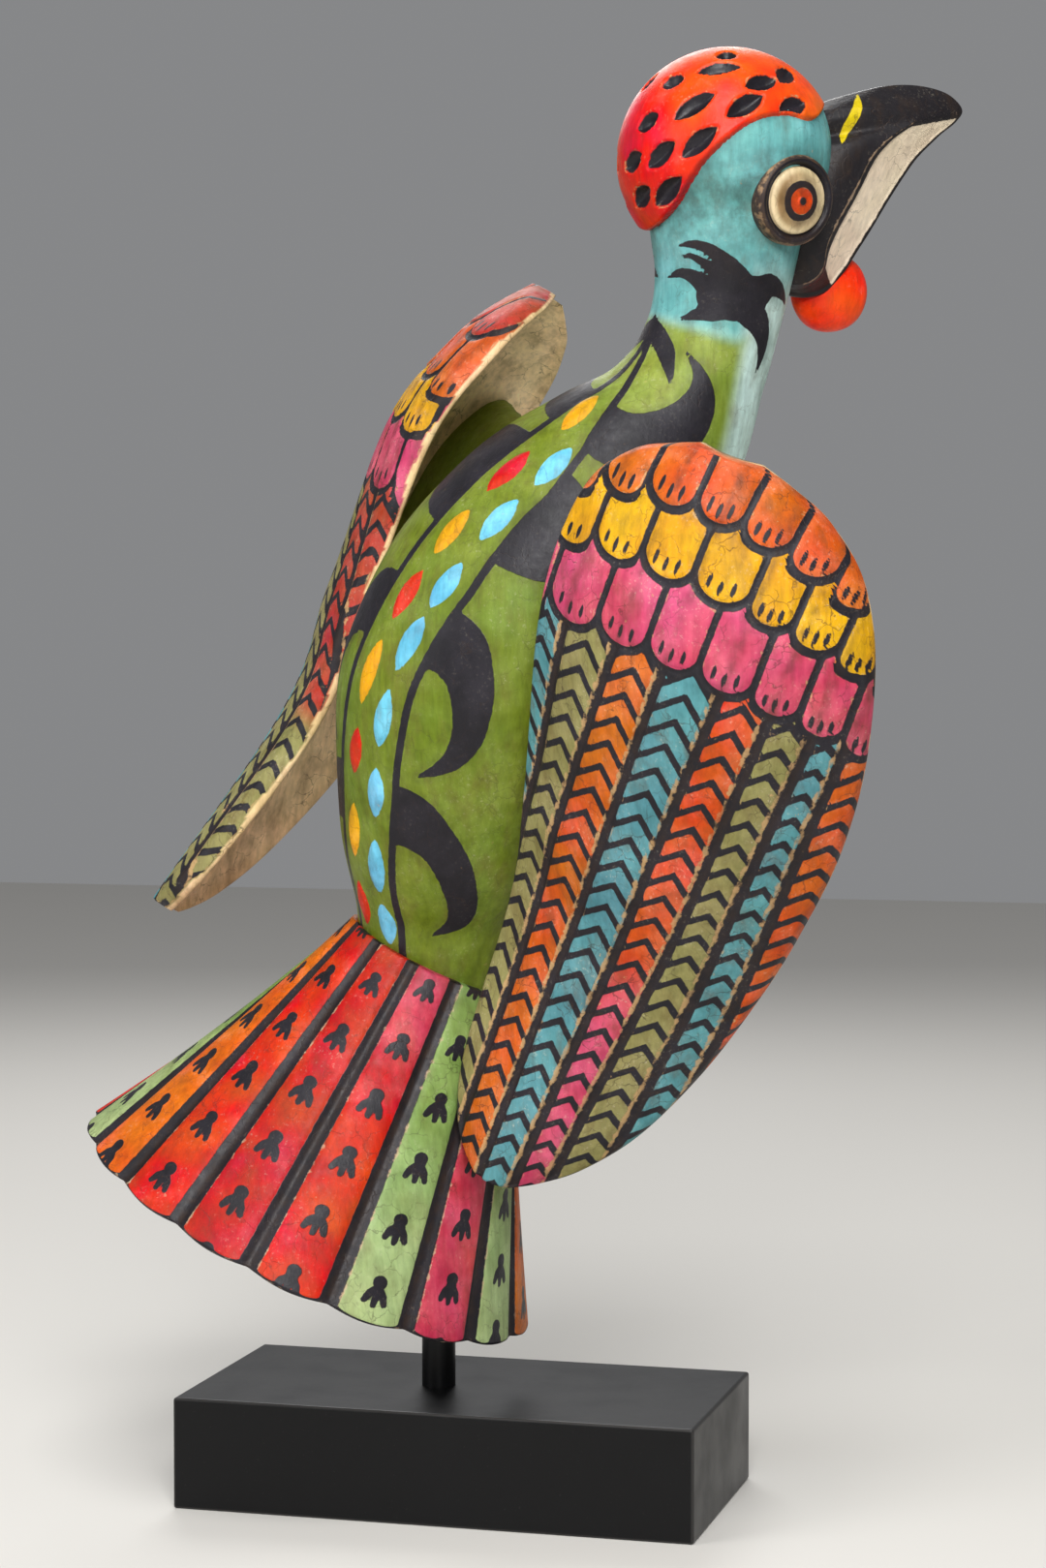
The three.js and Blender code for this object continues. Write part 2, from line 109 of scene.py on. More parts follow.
NECK_FIGURE = (
    ((334.5, 10.5, 0.5), (335, 16, 1.4), (333.5, 22, 2.2), (329, 28, 3.5), (323, 33, 5)),
    ((330, 10, 0.5), (330.5, 15, 1.2), (328, 20, 2), (323, 27, 4)),
    ((321, 4, 0.5), (323, 10, 1.9), (322, 16, 2.8), (317, 24, 5)),
    ((304.5, 12.5, 0.5), (307.5, 18, 2), (312, 25, 5), (316, 25, 7.5), (317, 33, 8), (320, 41, 5.5),
     (323, 46, 3.8), (322, 52, 2.6), (318.5, 59, 0.6)),
    ((313, 38, 5), (310, 44, 4.6), (305, 48, 3), (300, 49.5, 1.8), (295, 49.3, 0.5)),
)
NECK_COLOUR_BREAK = 303.0
LIGHT_GREEN_HEIGHTS = (225, 290)
THROAT_HEIGHTS, THROAT_ANGLES = (225, 262), (86, 104)
TEAL_HEIGHTS, NAPE_HEIGHTS, NAPE_ANGLES = (314, 335), (299, 307), (80, 100)
# Brown dirt and painted shade round the lower rear of the eye disc: heights up the body, reach and fade
# in mm
HEAD_DIRT_AND_SHADE_HEIGHTS, EYE_DIRT_AND_SHADE_REACH, EYE_DIRT_AND_SHADE_FADE = (325, 345), 28, 12

# Head, comb, beak and wattle in the head's frame: x forward, y to its left, z up
SKULL_RADIUS, SKULL_SUNK = 37.5, 4.0
COMB_RADIUS, COMB_SHIFT = 40.6, np.array((-0.7, 0.0, -2.5))
COMB_EDGE = ((-36, -62), (-30, -28), (-21, -4), (-4, 11), (10, 14), (22, 12.5), (34, 19), (60, 30))
COMB_INSIDE = 34.5
COMB_POLE = np.array((-0.6, 0.0, 0.8))
GOUGES = (
    (22.5, 72.5, -52, 22), (16, 55, -57, 20), (22.5, 32.5, -45, 17), (20.5, 7.5, -55, 15),
    (47.5, 62.5, -35, 27), (40, 44.5, -32, 23), (59, 25, -14, 26), (44, 11, -15, 27),
    (61, -12.5, 4, 26), (32.5, -15, -22, 25), (50, -31, 6, 22), (65, -45, 18, 23),
    (40, -52, 50, 22), (22, -25, 56, 12), (3, 12, 0, 14))
GOUGE_WIDE, GOUGE_DEEP, GOUGE_LENGTH_SHARE, CREST_HALF = 7.6, 3.0, 0.94, 5.5
BEAK_SECTIONS = np.array((
    (-73, 44, 39, 7), (-62, 58.5, 53, 11), (-52, 63.5, 53, 14.5), (-43, 62.8, 46.5, 16),
    (-31, 61.7, 43.5, 17.5), (-14, 64.3, 44.5, 18), (-1, 71.5, 48, 17.5), (6, 81, 54, 16.5),
    (9.5, 89, 61, 14.5), (12, 91.8, 68, 12.5), (15.5, 88.5, 63, 12.5), (19.5, 80, 54, 12.5),
    (23.7, 66.5, 44, 11.5), (26.5, 52, 37, 11), (30, 36, 30, 8)))
BEAK_ROOT, BEAK_RIDGE_HALF = 20.0, 1.3
BEAK_LIP, BEAK_PANEL_SUNK = 4.0, 0.8
NOSTRIL = ((47.5, 23.0), (37.5, 4.5), 1.9)
# The wattle hangs behind the beak's near lip
WATTLE_PLACE, WATTLE_HALVES = np.array((44.2, 7.5, -50.0)), (14.8, 9.5, 14.8)

# Eyes: radius and height pairs of a turned disc
EYE_FOOT = (14.0, 30.0, -16.0)
EYE_TURN, EYE_DOWN = radians(17), radians(3)
EYE_PROFILE = ((0, -4), (15.4, -4), (16.2, -1), (16.4, 2.4), (15.9, 4.2), (15, 4.9), (14, 4.9),
               (13, 4), (12.4, 3.4), (12, 4), (11.8, 4.8), (11.2, 5.3), (9, 6.1), (7.3, 6.6),
               (4.4, 7.2), (1.8, 7.5), (1.4, 8), (0.7, 8.2), (0, 8.25))
EYE_IRIS, EYE_PUPIL, EYE_NAIL = 7.3, 4.8, 1.4
EYE_GROOVE = (12.1, 14.9)

# Wings
WING_LENGTH, WING_HALF, WING_BOW, WING_CAMBER, WING_THICK = 283.0, 58.0, 20.5, 22.5, 8.0
WING_WIDTHS = ((0, 0.16), (0.015, 0.33), (0.04, 0.55), (0.1, 0.8), (0.19, 0.94), (0.3, 1),
               (0.42, 0.99), (0.54, 0.93), (0.66, 0.86), (0.78, 0.785), (0.88, 0.67),
               (0.95, 0.48), (0.985, 0.28), (1, 0.14))
WING_BEND = ((0, 0), (0.12, 15.5), (0.25, 22.5), (0.5, 10), (0.75, -2), (1, 0))
SHOULDER_REACH = 0.08
WING_POSES = {
    "right": dict(place=(0.5, 97.5, -11), sweep=49.5, splay=-12, twist=-5, taper=-0.27, trim=0.0),
    "left": dict(place=(-16.5, 97, 9.5), sweep=43, splay=5, twist=8.5, taper=-0.54, trim=0.16),
}
WING_ROWS, WING_ACROSS, WING_EDGE_STEPS, WING_INNER, WING_EDGE_ROUND = 270, 118, 8, 40, 1.6
WING_EDGE_FADE, WING_PAINT_TURN = 2.5, 0.62
SCALLOP_ROWS = (
    (20.3, 0.0043, "orange", (-60, -41, -22.5, -2.5, 15.5, 33, 50, 65)),
    (43, 0.0026, "yellow", (-55, -34.5, -14, 6.5, 27.5, 43.5, 59.5, 74, 88)),
    (70, 0.0019, "pink", (-65, -45, -21.5, -0.5, 19.5, 39, 55.5, 70.5, 85)))
SCALLOP_ROUND, SCALLOP_LINE, SCALLOP_FOOT, SCALLOP_LEAN = 0.78, 1.3, 1.95, 0.06
LEFT_ROWS_DROP = 30.0
LEFT_TOP_ROW = (26, 0.0043, "rust", (-52, -31.5, -11, 8.5, 27, 43, 59))
CLAW_HALF, CLAW_LONG, CLAW_GAP = 0.85, 5.0, 0.42
DIVIDERS = (
    ((65, -34), (130, -31.5), (283, -38)), ((65, -11), (80, -12), (150, -17.5), (283, -19)),
    ((65, 8.5), (80, 7.5), (150, 2.2), (200, -2), (283, -5)), ((65, 30), (80, 29), (200, 16), (283, 8)),
    ((65, 47.5), (80, 46.5), (150, 39.5), (200, 31.5), (283, 19)),
    ((65, 62), (80, 61.5), (150, 53.5), (200, 47), (250, 39), (283, 33)),
    ((65, 73), (80, 72.5), (150, 66), (200, 60), (283, 47)))
DIVIDER_HALF, DIVIDER_DEEP = 1.8, 1.2
OUTLINE_DEEP, SCALLOP_LIFT, SCALLOP_STEP = 0.9, 0.55, 0.15
PINK_FROM, KHAKI_FROM = (0.6, 0.76), (0.64, 0.7)
FEATHER_COLOURS = {
    "right": ("teal", "khaki", "orange", "teal", "coral", "khaki", "teal", "orange"),
    "left": ("rust", "rust", "khaki", "teal", "orange", "khaki", "teal", "orange"),
}
CHEVRON_STARTS = np.array((73, 74.4, 75, 76.6, 73.6, 75, 79, 77))
CHEVRON_PITCH, CHEVRON_HALF, CHEVRON_SLOPE = 9.8, 1.2, 0.9

# Shoulder flanges
FLANGE_FROM, FLANGE_TO, FLANGE_TOP, FLANGE_FOOT = 0.14, 0.52, 0.82, 0.4
FLANGE_EDGE_HALF, FLANGE_ROOT_HALF, FLANGE_STEPS = 2.6, 10.0, 24

# Tail
TAIL_RING = np.array((-0.7, 0.0, 207.0))
TAIL_RING_RADIUS, TAIL_RIM_RADIUS, TAIL_LENGTH, TAIL_THICK, TAIL_BULGE = 34.5, 92.0, 113.5, 5.5, 0.3
TAIL_FEATHERS, FEATHER_ANGLE, TAIL_RIGHT_EDGE = 11, 20.0, 92.5
RING_SPREAD, RING_SHIFT, TAIL_TO_SIDE = 1.5, 1.0, -53.0
TAIL_COLUMNS, TAIL_ROWS, TAIL_EDGE_STEPS, TAIL_INNER = 330, 130, 5, 24
CHANNEL_HALF, CHANNEL_DEEP = 3.4, 1.9
FEATHER_SWELL, RIM_BEAD, RIM_SCALLOP = 0.35, 1.2, 0.014
TAIL_COLOURS = ("orange", "green", "rose", "green", "red", "dark_red", "red", "orange", "green",
                "red", "orange")
FAN_PAINT_TURN = 0.75
PAW_PITCH, PAW_SIZE, PAW_STAGGER = 26.0, 0.92, 8.3
PAW_HEAD_UP, PAW_HEAD_RADIUS, PAW_FINGERS = 3.6, 3.1, (-4.4, 0.0, 4.4)
FEATHER_LENGTH = TAIL_LENGTH * 1.25

# Paints as sRGB hex
# Among these, the comb's orange is a painted highlight on its lit side, the eye's stain is made heavier
# on its rear side by painted shade, the bare wood is painted paler than the wood as painted light, and
# the dirt brown also stands for painted shade
PAINT = {
    "green": "#6C7C2A", "light_green": "#8C9C48", "teal": "#6CABAA", "pale_blue": "#C0DAD2",
    "charcoal": "#17151A", "charcoal_worn": "#26232A", "comb_red": "#CC2A18",
    "comb_lit_side_orange": "#EC5826", "black": "#1B181B", "cream": "#F0DFC6", "nostril": "#C8B028",
    "wattle": "#F04C18", "spot_blue": "#74BEDC", "spot_red": "#C62A1E", "spot_yellow": "#DDA026",
    "bare": "#F6D9AE", "bare_dark": "#A87E50", "eye_cream": "#DCC8A0", "eye_stain_and_shade": "#8A6A40",
    "eye_ring": "#3A302C", "pupil": "#E0532E", "stain": "#5A4020", "dust": "#D8CDB4",
    "dirt_and_shade_brown": "#33241A", "under": "#C9A878", "rim_wood": "#C9A062", "fan_wood": "#6A4C34",
    "lacquer": "#0C0C0D", "lacquer_dust": "#302F2E",
}
WING_PAINT = {
    "orange": "#C86436", "yellow": "#D49C26", "pink": "#C2526C", "teal": "#588E94",
    "khaki": "#8A8454", "coral": "#CC583A", "rust": "#B0483C",
}
TAIL_PAINT = {
    "orange": "#D0682A", "green": "#7C9652", "pale_green": "#9CAE78", "rose": "#BE4858",
    "red": "#C42E1E", "dark_red": "#B2261E",
}
FAR = 50.0
# Long lists of points are compared with a curve in this many parts, to spare memory
PARTS = 20

# Patterns of the paint: size in mm, detail, and the share by which it is drawn out upright
PAINT_NOISES = {
    "patches": (16, 4, 1), "streaks": (2.2, 3, 0.12), "grains": (1.3, 4, 1), "flecks": (3.4, 6, 1),
    "stains": (7, 7, 0.45), "edges": (3.0, 2, 1), "tints": (30, 2, 1), "chipped": (9, 3, 1),
    "dry": (12, 3, 1), "dirt_and_shade_patches": (5, 4, 1),
}
NOISE_ROUGH = 0.6
EDGE_WOBBLE, EDGE_SOFT = 0.35, 0.15
CRACKLE_SIZE, CRACKLE_BEND, CRACK_WIDTH = 7.0, 5.0, 0.035
PAINT_RELIEF = 0.35
PAINT_SPECULAR, LACQUER_SPECULAR = 0.25, 0.2
LACQUER_RELIEF = 0.2
# How often these patterns repeat in a metre
BEND_SCALE, HAZE_SCALE, DUST_SCALE = 260.0, 45.0, 900.0


def linear(hex_colour):
    """sRGB hex to a linear colour."""
    parts = [int(hex_colour[i:i + 2], 16) / 255 for i in (1, 3, 5)]
    return tuple(c / 12.92 if c <= 0.04045 else ((c + 0.055) / 1.055) ** 2.4 for c in parts)


def paint_row(count, hex_colour):
    return np.tile(linear(hex_colour), (count, 1))


def ramp(value, low, high):
    """Smooth step from 0 at low to 1 at high."""
    t = np.clip((value - low) / (high - low), 0, 1)
    return t * t * (3 - 2 * t)


def tint(ground, hex_colour, share):
    """Ground colours moved by a share towards one paint."""
    return ground + (np.array(linear(hex_colour)) - ground) * np.asarray(share)[:, None]


# Curves and frames

def turn(yaw, pitch, roll):
    """Roll about X, then pitch about Y, then yaw about Z."""
    z = np.array(((cos(yaw), -sin(yaw), 0), (sin(yaw), cos(yaw), 0), (0, 0, 1)))
    y = np.array(((cos(pitch), 0, sin(pitch)), (0, 1, 0), (-sin(pitch), 0, cos(pitch))))
    x = np.array(((1, 0, 0), (0, cos(roll), -sin(roll)), (0, sin(roll), cos(roll))))
    return z @ y @ x


BIRD = turn(*BIRD_TURNS)
HEAD = turn(*HEAD_TURNS)
FIGURE = turn(SHOW_TURN, 0, 0)


def through(points, count):
    """A count of points on a smooth curve through the given ones, spread evenly by point."""
    points = np.asarray(points, float)
    ends = np.vstack((2 * points[0] - points[1], points, 2 * points[-1] - points[-2]))
    place = np.linspace(0, 1, count) * (len(points) - 1)
    k = np.minimum(place.astype(int), len(points) - 2)
    w = (place - k)[:, None]
    p0, p1, p2, p3 = ends[k], ends[k + 1], ends[k + 2], ends[k + 3]
    s0, s1, s2 = (np.linalg.norm(b - a, axis=1, keepdims=True) ** 0.5
                  for a, b in ((p0, p1), (p1, p2), (p2, p3)))
    leave = ((p1 - p0) / s0 - (p2 - p0) / (s0 + s1) + (p2 - p1) / s1) * s1
    arrive = ((p2 - p1) / s1 - (p3 - p1) / (s1 + s2) + (p3 - p2) / s2) * s1
    return (p1 + leave * w + (3 * p2 - 3 * p1 - 2 * leave - arrive) * w ** 2
            + (2 * p1 - 2 * p2 + leave + arrive) * w ** 3)


def profile(pairs):
    """Function giving the height of a smooth curve through (position, height) pairs."""
    curve = through(pairs, 500)
    return lambda position: np.interp(position, curve[:, 0], curve[:, 1])


def table(pairs):
    places, values = zip(*pairs)
    return lambda position: np.interp(position, places, values)


def stroke_distance(points, stroke):
    """Distance in mm from 2-D points to a brush stroke of (place, place, half width) points."""
    stroke = np.asarray(stroke, float)
    best = np.full(len(points), FAR * 4)
    for start, end in zip(stroke[:-1], stroke[1:]):
        run = end[:2] - start[:2]
        share = np.clip((points - start[:2]) @ run / (run @ run), 0, 1)
        gap = np.linalg.norm(points - start[:2] - share[:, None] * run, axis=1)
        best = np.minimum(best, gap - start[2] - (end[2] - start[2]) * share)
    return best


def lens_distance(along, across, length, width):
    """Distance in mm to a pointed lens, negative inside it."""
    reach = ((length / 2) ** 2 + (width / 2) ** 2) / width
    return np.hypot(along, np.abs(across) + reach - width / 2) - reach


# Meshes

def placed(points):
    """Figure frame in mm to the object's frame in metres."""
    moved = points @ FIGURE.T
    moved[:, :2] += ROD_PLACE
    return moved * MM


def unplaced(points):
    back = points / MM
    back[:, :2] -= ROD_PLACE
    return back @ FIGURE


def linked(name, data):
    """A new object in the scene."""
    piece = bpy.data.objects.new(name, data)
    bpy.context.collection.objects.link(piece)
    return piece


def mesh_of(name, work):
    mesh = bpy.data.meshes.new(name)
    work.to_mesh(mesh)
    work.free()
    return mesh


def read(items, key):
    """One value of three numbers from each of a mesh's items."""
    values = np.empty(len(items) * 3)
    items.foreach_get(key, values)
    return values.reshape(-1, 3)


def make_object(name, points, faces):
    mesh = bpy.data.meshes.new(name)
    mesh.from_pydata(placed(points).tolist(), [], faces)
    piece = linked(name, mesh)
    point_outwards(piece)
    mesh.polygons.foreach_set("use_smooth", [True] * len(mesh.polygons))
    return piece


def point_outwards(piece):
    work = bmesh.new()
    work.from_mesh(piece.data)
    bmesh.ops.recalc_face_normals(work, faces=work.faces)
    work.to_mesh(piece.data)
    work.free()


def ring_faces(rings, sides):
    """Faces of a closed loft of rings, with a point in the middle of each end."""
    r, i = np.meshgrid(np.arange(rings - 1), np.arange(sides), indexing="ij")
    j = (i + 1) % sides
    quads = np.stack((r * sides + i, r * sides + j, (r + 1) * sides + j, (r + 1) * sides + i), -1)
    faces = quads.reshape(-1, 4).tolist()
    last = (rings - 1) * sides
    for k in range(sides):
        n = (k + 1) % sides
        faces.append((n, k, rings * sides))
        faces.append((last + k, last + n, rings * sides + 1))
    return faces


def loft_object(name, rings):
    """Closed loft through an array of rings, shape (rings, sides, 3)."""
    count, sides = rings.shape[:2]
    points = np.vstack((rings.reshape(-1, 3), rings[0].mean(0), rings[-1].mean(0)))
    return make_object(name, points, ring_faces(count, sides))


def with_ends(values):
    """Values of a loft's ring points, with those of its two end points added."""
    flat = values.reshape(-1, *values.shape[2:])
    return np.concatenate((flat, values[0].mean(0, keepdims=True), values[-1].mean(0, keepdims=True)))


def board_section(start, end, outer, edge, inner):
    """Places round a thin board's section: across it, and from its outer face 0 to its inner 1."""
    through_edge = np.linspace(0, 1, edge + 2)[1:-1]
    across = np.concatenate((np.linspace(start, end, outer), np.full(edge, end),
                             np.linspace(end, start, inner), np.full(edge, start)))
    return across, np.concatenate((np.zeros(outer), through_edge, np.ones(inner), through_edge[::-1]))


def ball_points(rings, sides):
    polar = np.linspace(0, pi, rings + 2)[1:-1, None]
    round_ = np.linspace(0, 2 * pi, sides, endpoint=False)[None]
    return np.stack((np.sin(polar) * np.cos(round_), np.sin(polar) * np.sin(round_),
                     np.cos(polar) * np.ones_like(round_)), -1)


def finished_copy(piece, name):
    """The piece with its modifiers made plain."""
    solid = bpy.data.meshes.new_from_object(
        piece.evaluated_get(bpy.context.evaluated_depsgraph_get()))
    solid.name = name
    made = linked(name, solid)
    bpy.data.objects.remove(piece)
    solid.polygons.foreach_set("use_smooth", [True] * len(solid.polygons))
    return made


def move_points(piece, points):
    piece.data.vertices.foreach_set("co", placed(points).ravel())
    piece.data.update()


def lay_number(piece, name, value):
    piece.data.attributes.new(name, "FLOAT", "POINT").data.foreach_set("value", value)


def lay_paint(piece, ground, ink=None, spot=None, spot_edge=None, worn=None, grime=None):
    """Keeps the paint's numbers on the mesh's points."""
    count = len(piece.data.vertices)
    for name, colour in (("ground", ground), ("spot", spot)):
        colour = np.broadcast_to(linear(PAINT["cream"]) if colour is None else colour, (count, 3))
        layer = piece.data.attributes.new(name, "FLOAT_COLOR", "POINT")
        layer.data.foreach_set("color", np.hstack((colour, np.ones((count, 1)))).ravel())
    for name, value, blank in (("ink", ink, FAR), ("spot_edge", spot_edge, FAR),
                               ("worn", worn, FAR), ("grime", grime, 0.0)):
        lay_number(piece, name, np.full(count, blank) if value is None else value)


def lay_loft_paint(piece, shape, ground, **layers):
    """Lays the paint of a loft's rings, whose numbers are in one long row."""
    lay_paint(piece, with_ends(ground.reshape(*shape, 3)),
              **{key: with_ends(value.reshape(shape)) for key, value in layers.items()})


def finish_piece(piece, material, node):
    piece.data.materials.clear()
    piece.data.materials.append(material)
    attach(piece, "root")
    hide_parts(node)


# Materials

class Shader:
    """A material built node by node. A node's inputs are named, or in its own order, and a hex
    colour may stand for any of them."""

    def __init__(self, name):
        self.material = bpy.data.materials.new(name)
        self.material.use_nodes = True
        self.tree = self.material.node_tree
        self.tree.nodes.clear()
        self.place = self.node("TexCoord", out="Object")

    def node(self, kind, inputs=(), out=0, **settings):
        """Adds a node with its settings, values and links, and gives one of its outputs."""
        made = self.tree.nodes.new("ShaderNode" + kind)
        for key, value in settings.items():
            setattr(made, key, value)
        for key, value in inputs.items() if isinstance(inputs, dict) else enumerate(inputs):
            if isinstance(value, bpy.types.NodeSocket):
                self.tree.links.new(value, made.inputs[key])
            else:
                made.inputs[key].default_value = (*linear(value), 1) if isinstance(value, str) else value
        return made.outputs[out] if made.outputs else None

    def maths(self, operation, *values):
        return self.node("Math", values, operation=operation)

    def step(self, source, low, high, start=0, end=1):
        """Moves from start to end while the source goes from low to high."""
        return self.node("MapRange", (source, low, high, start, end))

    def mix(self, share, first, second):
        return self.node("Mix", {0: share, 6: first, 7: second}, out=2, data_type="RGBA")

    def layer(self, name, out="Fac"):
        """A number or colour kept at the mesh's points."""
        return self.node("Attribute", out=out, attribute_name=name)

    def finished(self, colour, rough, height, strength, relief, specular):
        bump = self.node("Bump", {"Height": height, "Strength": strength, "Distance": relief * MM})
        surface = self.node("BsdfPrincipled", {"Base Color": colour, "Roughness": rough, "Normal": bump,
                                               "Specular IOR Level": specular})
        self.node("OutputMaterial", {"Surface": surface})
        return self.material


def painted_wood(name, rough, mottle, scuffs, soil, crackle, under=PAINT["under"]):
    """Matt distemper paint brushed on carved softwood: patchy, streaked and rubbed to the wood."""
    shader = Shader(name)
    maths, step, mix, layer = shader.maths, shader.step, shader.mix, shader.layer
    look = {}
    for key, (size, detail, upright) in PAINT_NOISES.items():
        spread = shader.node("Mapping", {"Vector": shader.place, "Scale": (1, 1, upright)})
        look[key] = shader.node("TexNoise", {"Vector": spread, "Scale": 1 / (size * MM),
                                             "Detail": detail, "Roughness": NOISE_ROUGH})

    # Strokes and spots, with edges that waver as a brush's do
    wobble = step(look["edges"], 0, 1, -EDGE_WOBBLE, EDGE_WOBBLE)
    inked, spotted = (step(maths("ADD", layer(key), wobble), -EDGE_SOFT, EDGE_SOFT, 1, 0)
                      for key in ("ink", "spot_edge"))
    coat = mix(spotted, layer("ground", "Color"), layer("spot", "Color"))

    # The coat's thickness varies by patch and by brush mark, and brown has soaked into it
    patchy = step(look["patches"], 0.3, 0.7, 1 - mottle, 1 + mottle * 0.4)
    tone = shader.node("HueSaturation", {
        "Hue": step(look["tints"], 0.3, 0.7, 0.488, 0.512),
        "Saturation": step(look["patches"], 0.3, 0.7, 1.12, 0.98),
        "Value": maths("ADD", patchy, step(look["streaks"], 0.3, 0.7, -0.14, 0.14)), "Color": coat})
    aged = mix(step(look["stains"], 0.5, 0.72, 0, soil), tone, PAINT["stain"])
    charcoal = mix(step(look["patches"], 0.4, 0.7), PAINT["charcoal"], PAINT["charcoal_worn"])
    coat = mix(inked, aged, charcoal)

    # Dust in the grain, less of it on the charcoal
    powdery = step(look["patches"], 0.42, 0.66, 0, scuffs)
    dusty = maths("MULTIPLY", step(look["grains"], 0.58, 0.72), powdery)
    dusty = maths("MULTIPLY", dusty, step(inked, 0, 1, 1, 0.35))
    coat = mix(dusty, coat, mix(0.5, coat, PAINT["dust"]))

    # Chips, ridges rubbed down to the wood, and painted highlight lines along one side of some grooves,
    # in the wood's colour
    brittle = step(look["chipped"], 0.5, 0.62, 0, scuffs)
    chips = maths("MULTIPLY", step(look["flecks"], 0.67, 0.7), brittle)
    chips = maths("MULTIPLY", chips, step(inked, 0, 1, 1, 0.25))
    ridge = maths("ADD", layer("worn"), step(look["flecks"], 0.25, 0.75, -0.8, 1))
    rubbed_and_highlight = maths("MULTIPLY", step(ridge, 0.25, 0.75, 0.85, 0), step(look["patches"], 0.3, 0.5, 0.35, 1))
    bared_and_highlight = maths("MAXIMUM", rubbed_and_highlight, chips)
    coat = mix(bared_and_highlight, coat, mix(look["grains"], under, PAINT["bare_dark"]))

    # Hairline cracks where the coat is dry, and a brown that stands for dirt and for painted shade in
    # corners, grooves and under parts
    drift = shader.node("TexNoise", {"Vector": shader.place, "Scale": BEND_SCALE}, out="Color")
    drift = shader.node("VectorMath", {0: drift, "Scale": CRACKLE_BEND * MM}, operation="SCALE")
    bent = shader.node("VectorMath", (shader.place, drift), operation="ADD")
    cells = shader.node("TexVoronoi", {"Vector": bent, "Scale": 1 / (CRACKLE_SIZE * MM)},
                        out="Distance", feature="DISTANCE_TO_EDGE")
    dry = step(look["dry"], 0.44, 0.6, 0, crackle)
    cracks = maths("MULTIPLY", step(cells, 0, CRACK_WIDTH, 1, 0), dry)
    dirt_and_shade_patches = maths("MULTIPLY", layer("grime"), step(look["dirt_and_shade_patches"], 0.3, 0.62))
    coat = mix(maths("MAXIMUM", dirt_and_shade_patches, cracks), coat, PAINT["dirt_and_shade_brown"])

    height = maths("MULTIPLY_ADD", look["streaks"], 0.5, maths("MULTIPLY", look["grains"], 0.35))
    height = maths("MULTIPLY_ADD", inked, 0.5, height)
    height = maths("MULTIPLY_ADD", maths("MAXIMUM", bared_and_highlight, cracks), -0.6, height)
    gloss = maths("MULTIPLY_ADD", inked, -0.06, step(look["flecks"], 0.3, 0.7, rough - 0.07, rough + 0.1))
    return shader.finished(coat, gloss, height, 0.55, PAINT_RELIEF, PAINT_SPECULAR)


def black_finish(name, rough, edge_hex):
    """Satin black lacquer: nearly even, with fine dust in the sheen and slightly rubbed edges."""
    shader = Shader(name)
    haze, dust = (shader.node("TexNoise", {"Vector": shader.place, "Scale": scale, "Detail": detail})
                  for scale, detail in ((HAZE_SCALE, 5), (DUST_SCALE, 2)))
    colour = shader.mix(shader.step(dust, 0.68, 0.74, 0, 0.35), PAINT["lacquer"], PAINT["lacquer_dust"])
    colour = shader.mix(shader.step(shader.layer("worn"), 0.2, 1.1, 0.55, 0), colour, edge_hex)
    gloss = shader.step(haze, 0.3, 0.7, rough - 0.05, rough + 0.08)
    return shader.finished(colour, gloss, dust, 0.12, LACQUER_RELIEF, LACQUER_SPECULAR)


# Body, neck and skull, carved in one with the shoulder flanges

BODY_PATH = through(BODY_STATIONS[:, :3], BODY_RINGS)
BODY_RADIUS = through(np.stack((np.arange(len(BODY_STATIONS)), BODY_STATIONS[:, 3]), 1), BODY_RINGS)[:, 1]
BODY_TANGENT = np.gradient(BODY_PATH, axis=0)
BODY_TANGENT /= np.linalg.norm(BODY_TANGENT, axis=1, keepdims=True)
BODY_ALONG = np.concatenate(((0,), np.cumsum(np.linalg.norm(np.diff(BODY_PATH, axis=0), axis=1))))
BODY_BACK = -(BIRD[:, 0] - (BODY_TANGENT @ BIRD[:, 0])[:, None] * BODY_TANGENT)
BODY_BACK /= np.linalg.norm(BODY_BACK, axis=1, keepdims=True)
BODY_LEFT = -np.cross(BODY_TANGENT, BODY_BACK)


def body_rings():
    angle = np.linspace(0, 2 * pi, BODY_SIDES, endpoint=False)
    outwards = (np.cos(angle)[None, :, None] * BODY_BACK[:, None]
                + np.sin(angle)[None, :, None] * BODY_LEFT[:, None])
    return BODY_PATH[:, None] + outwards * BODY_RADIUS[:, None, None]


def body_places(points):
    """Height along the centre line, angle from the back and radius there, for each point."""
    nearest = np.concatenate([
        np.linalg.norm(part[:, None] - BODY_PATH[None], axis=2).argmin(1)
        for part in np.array_split(points, 40)])
    gap = points - BODY_PATH[nearest]
    high = BODY_ALONG[nearest] + (gap * BODY_TANGENT[nearest]).sum(1)
    angle = np.degrees(np.arctan2((gap * BODY_LEFT[nearest]).sum(1), (gap * BODY_BACK[nearest]).sum(1)))
    return high, angle, np.interp(high, BODY_ALONG, BODY_RADIUS)


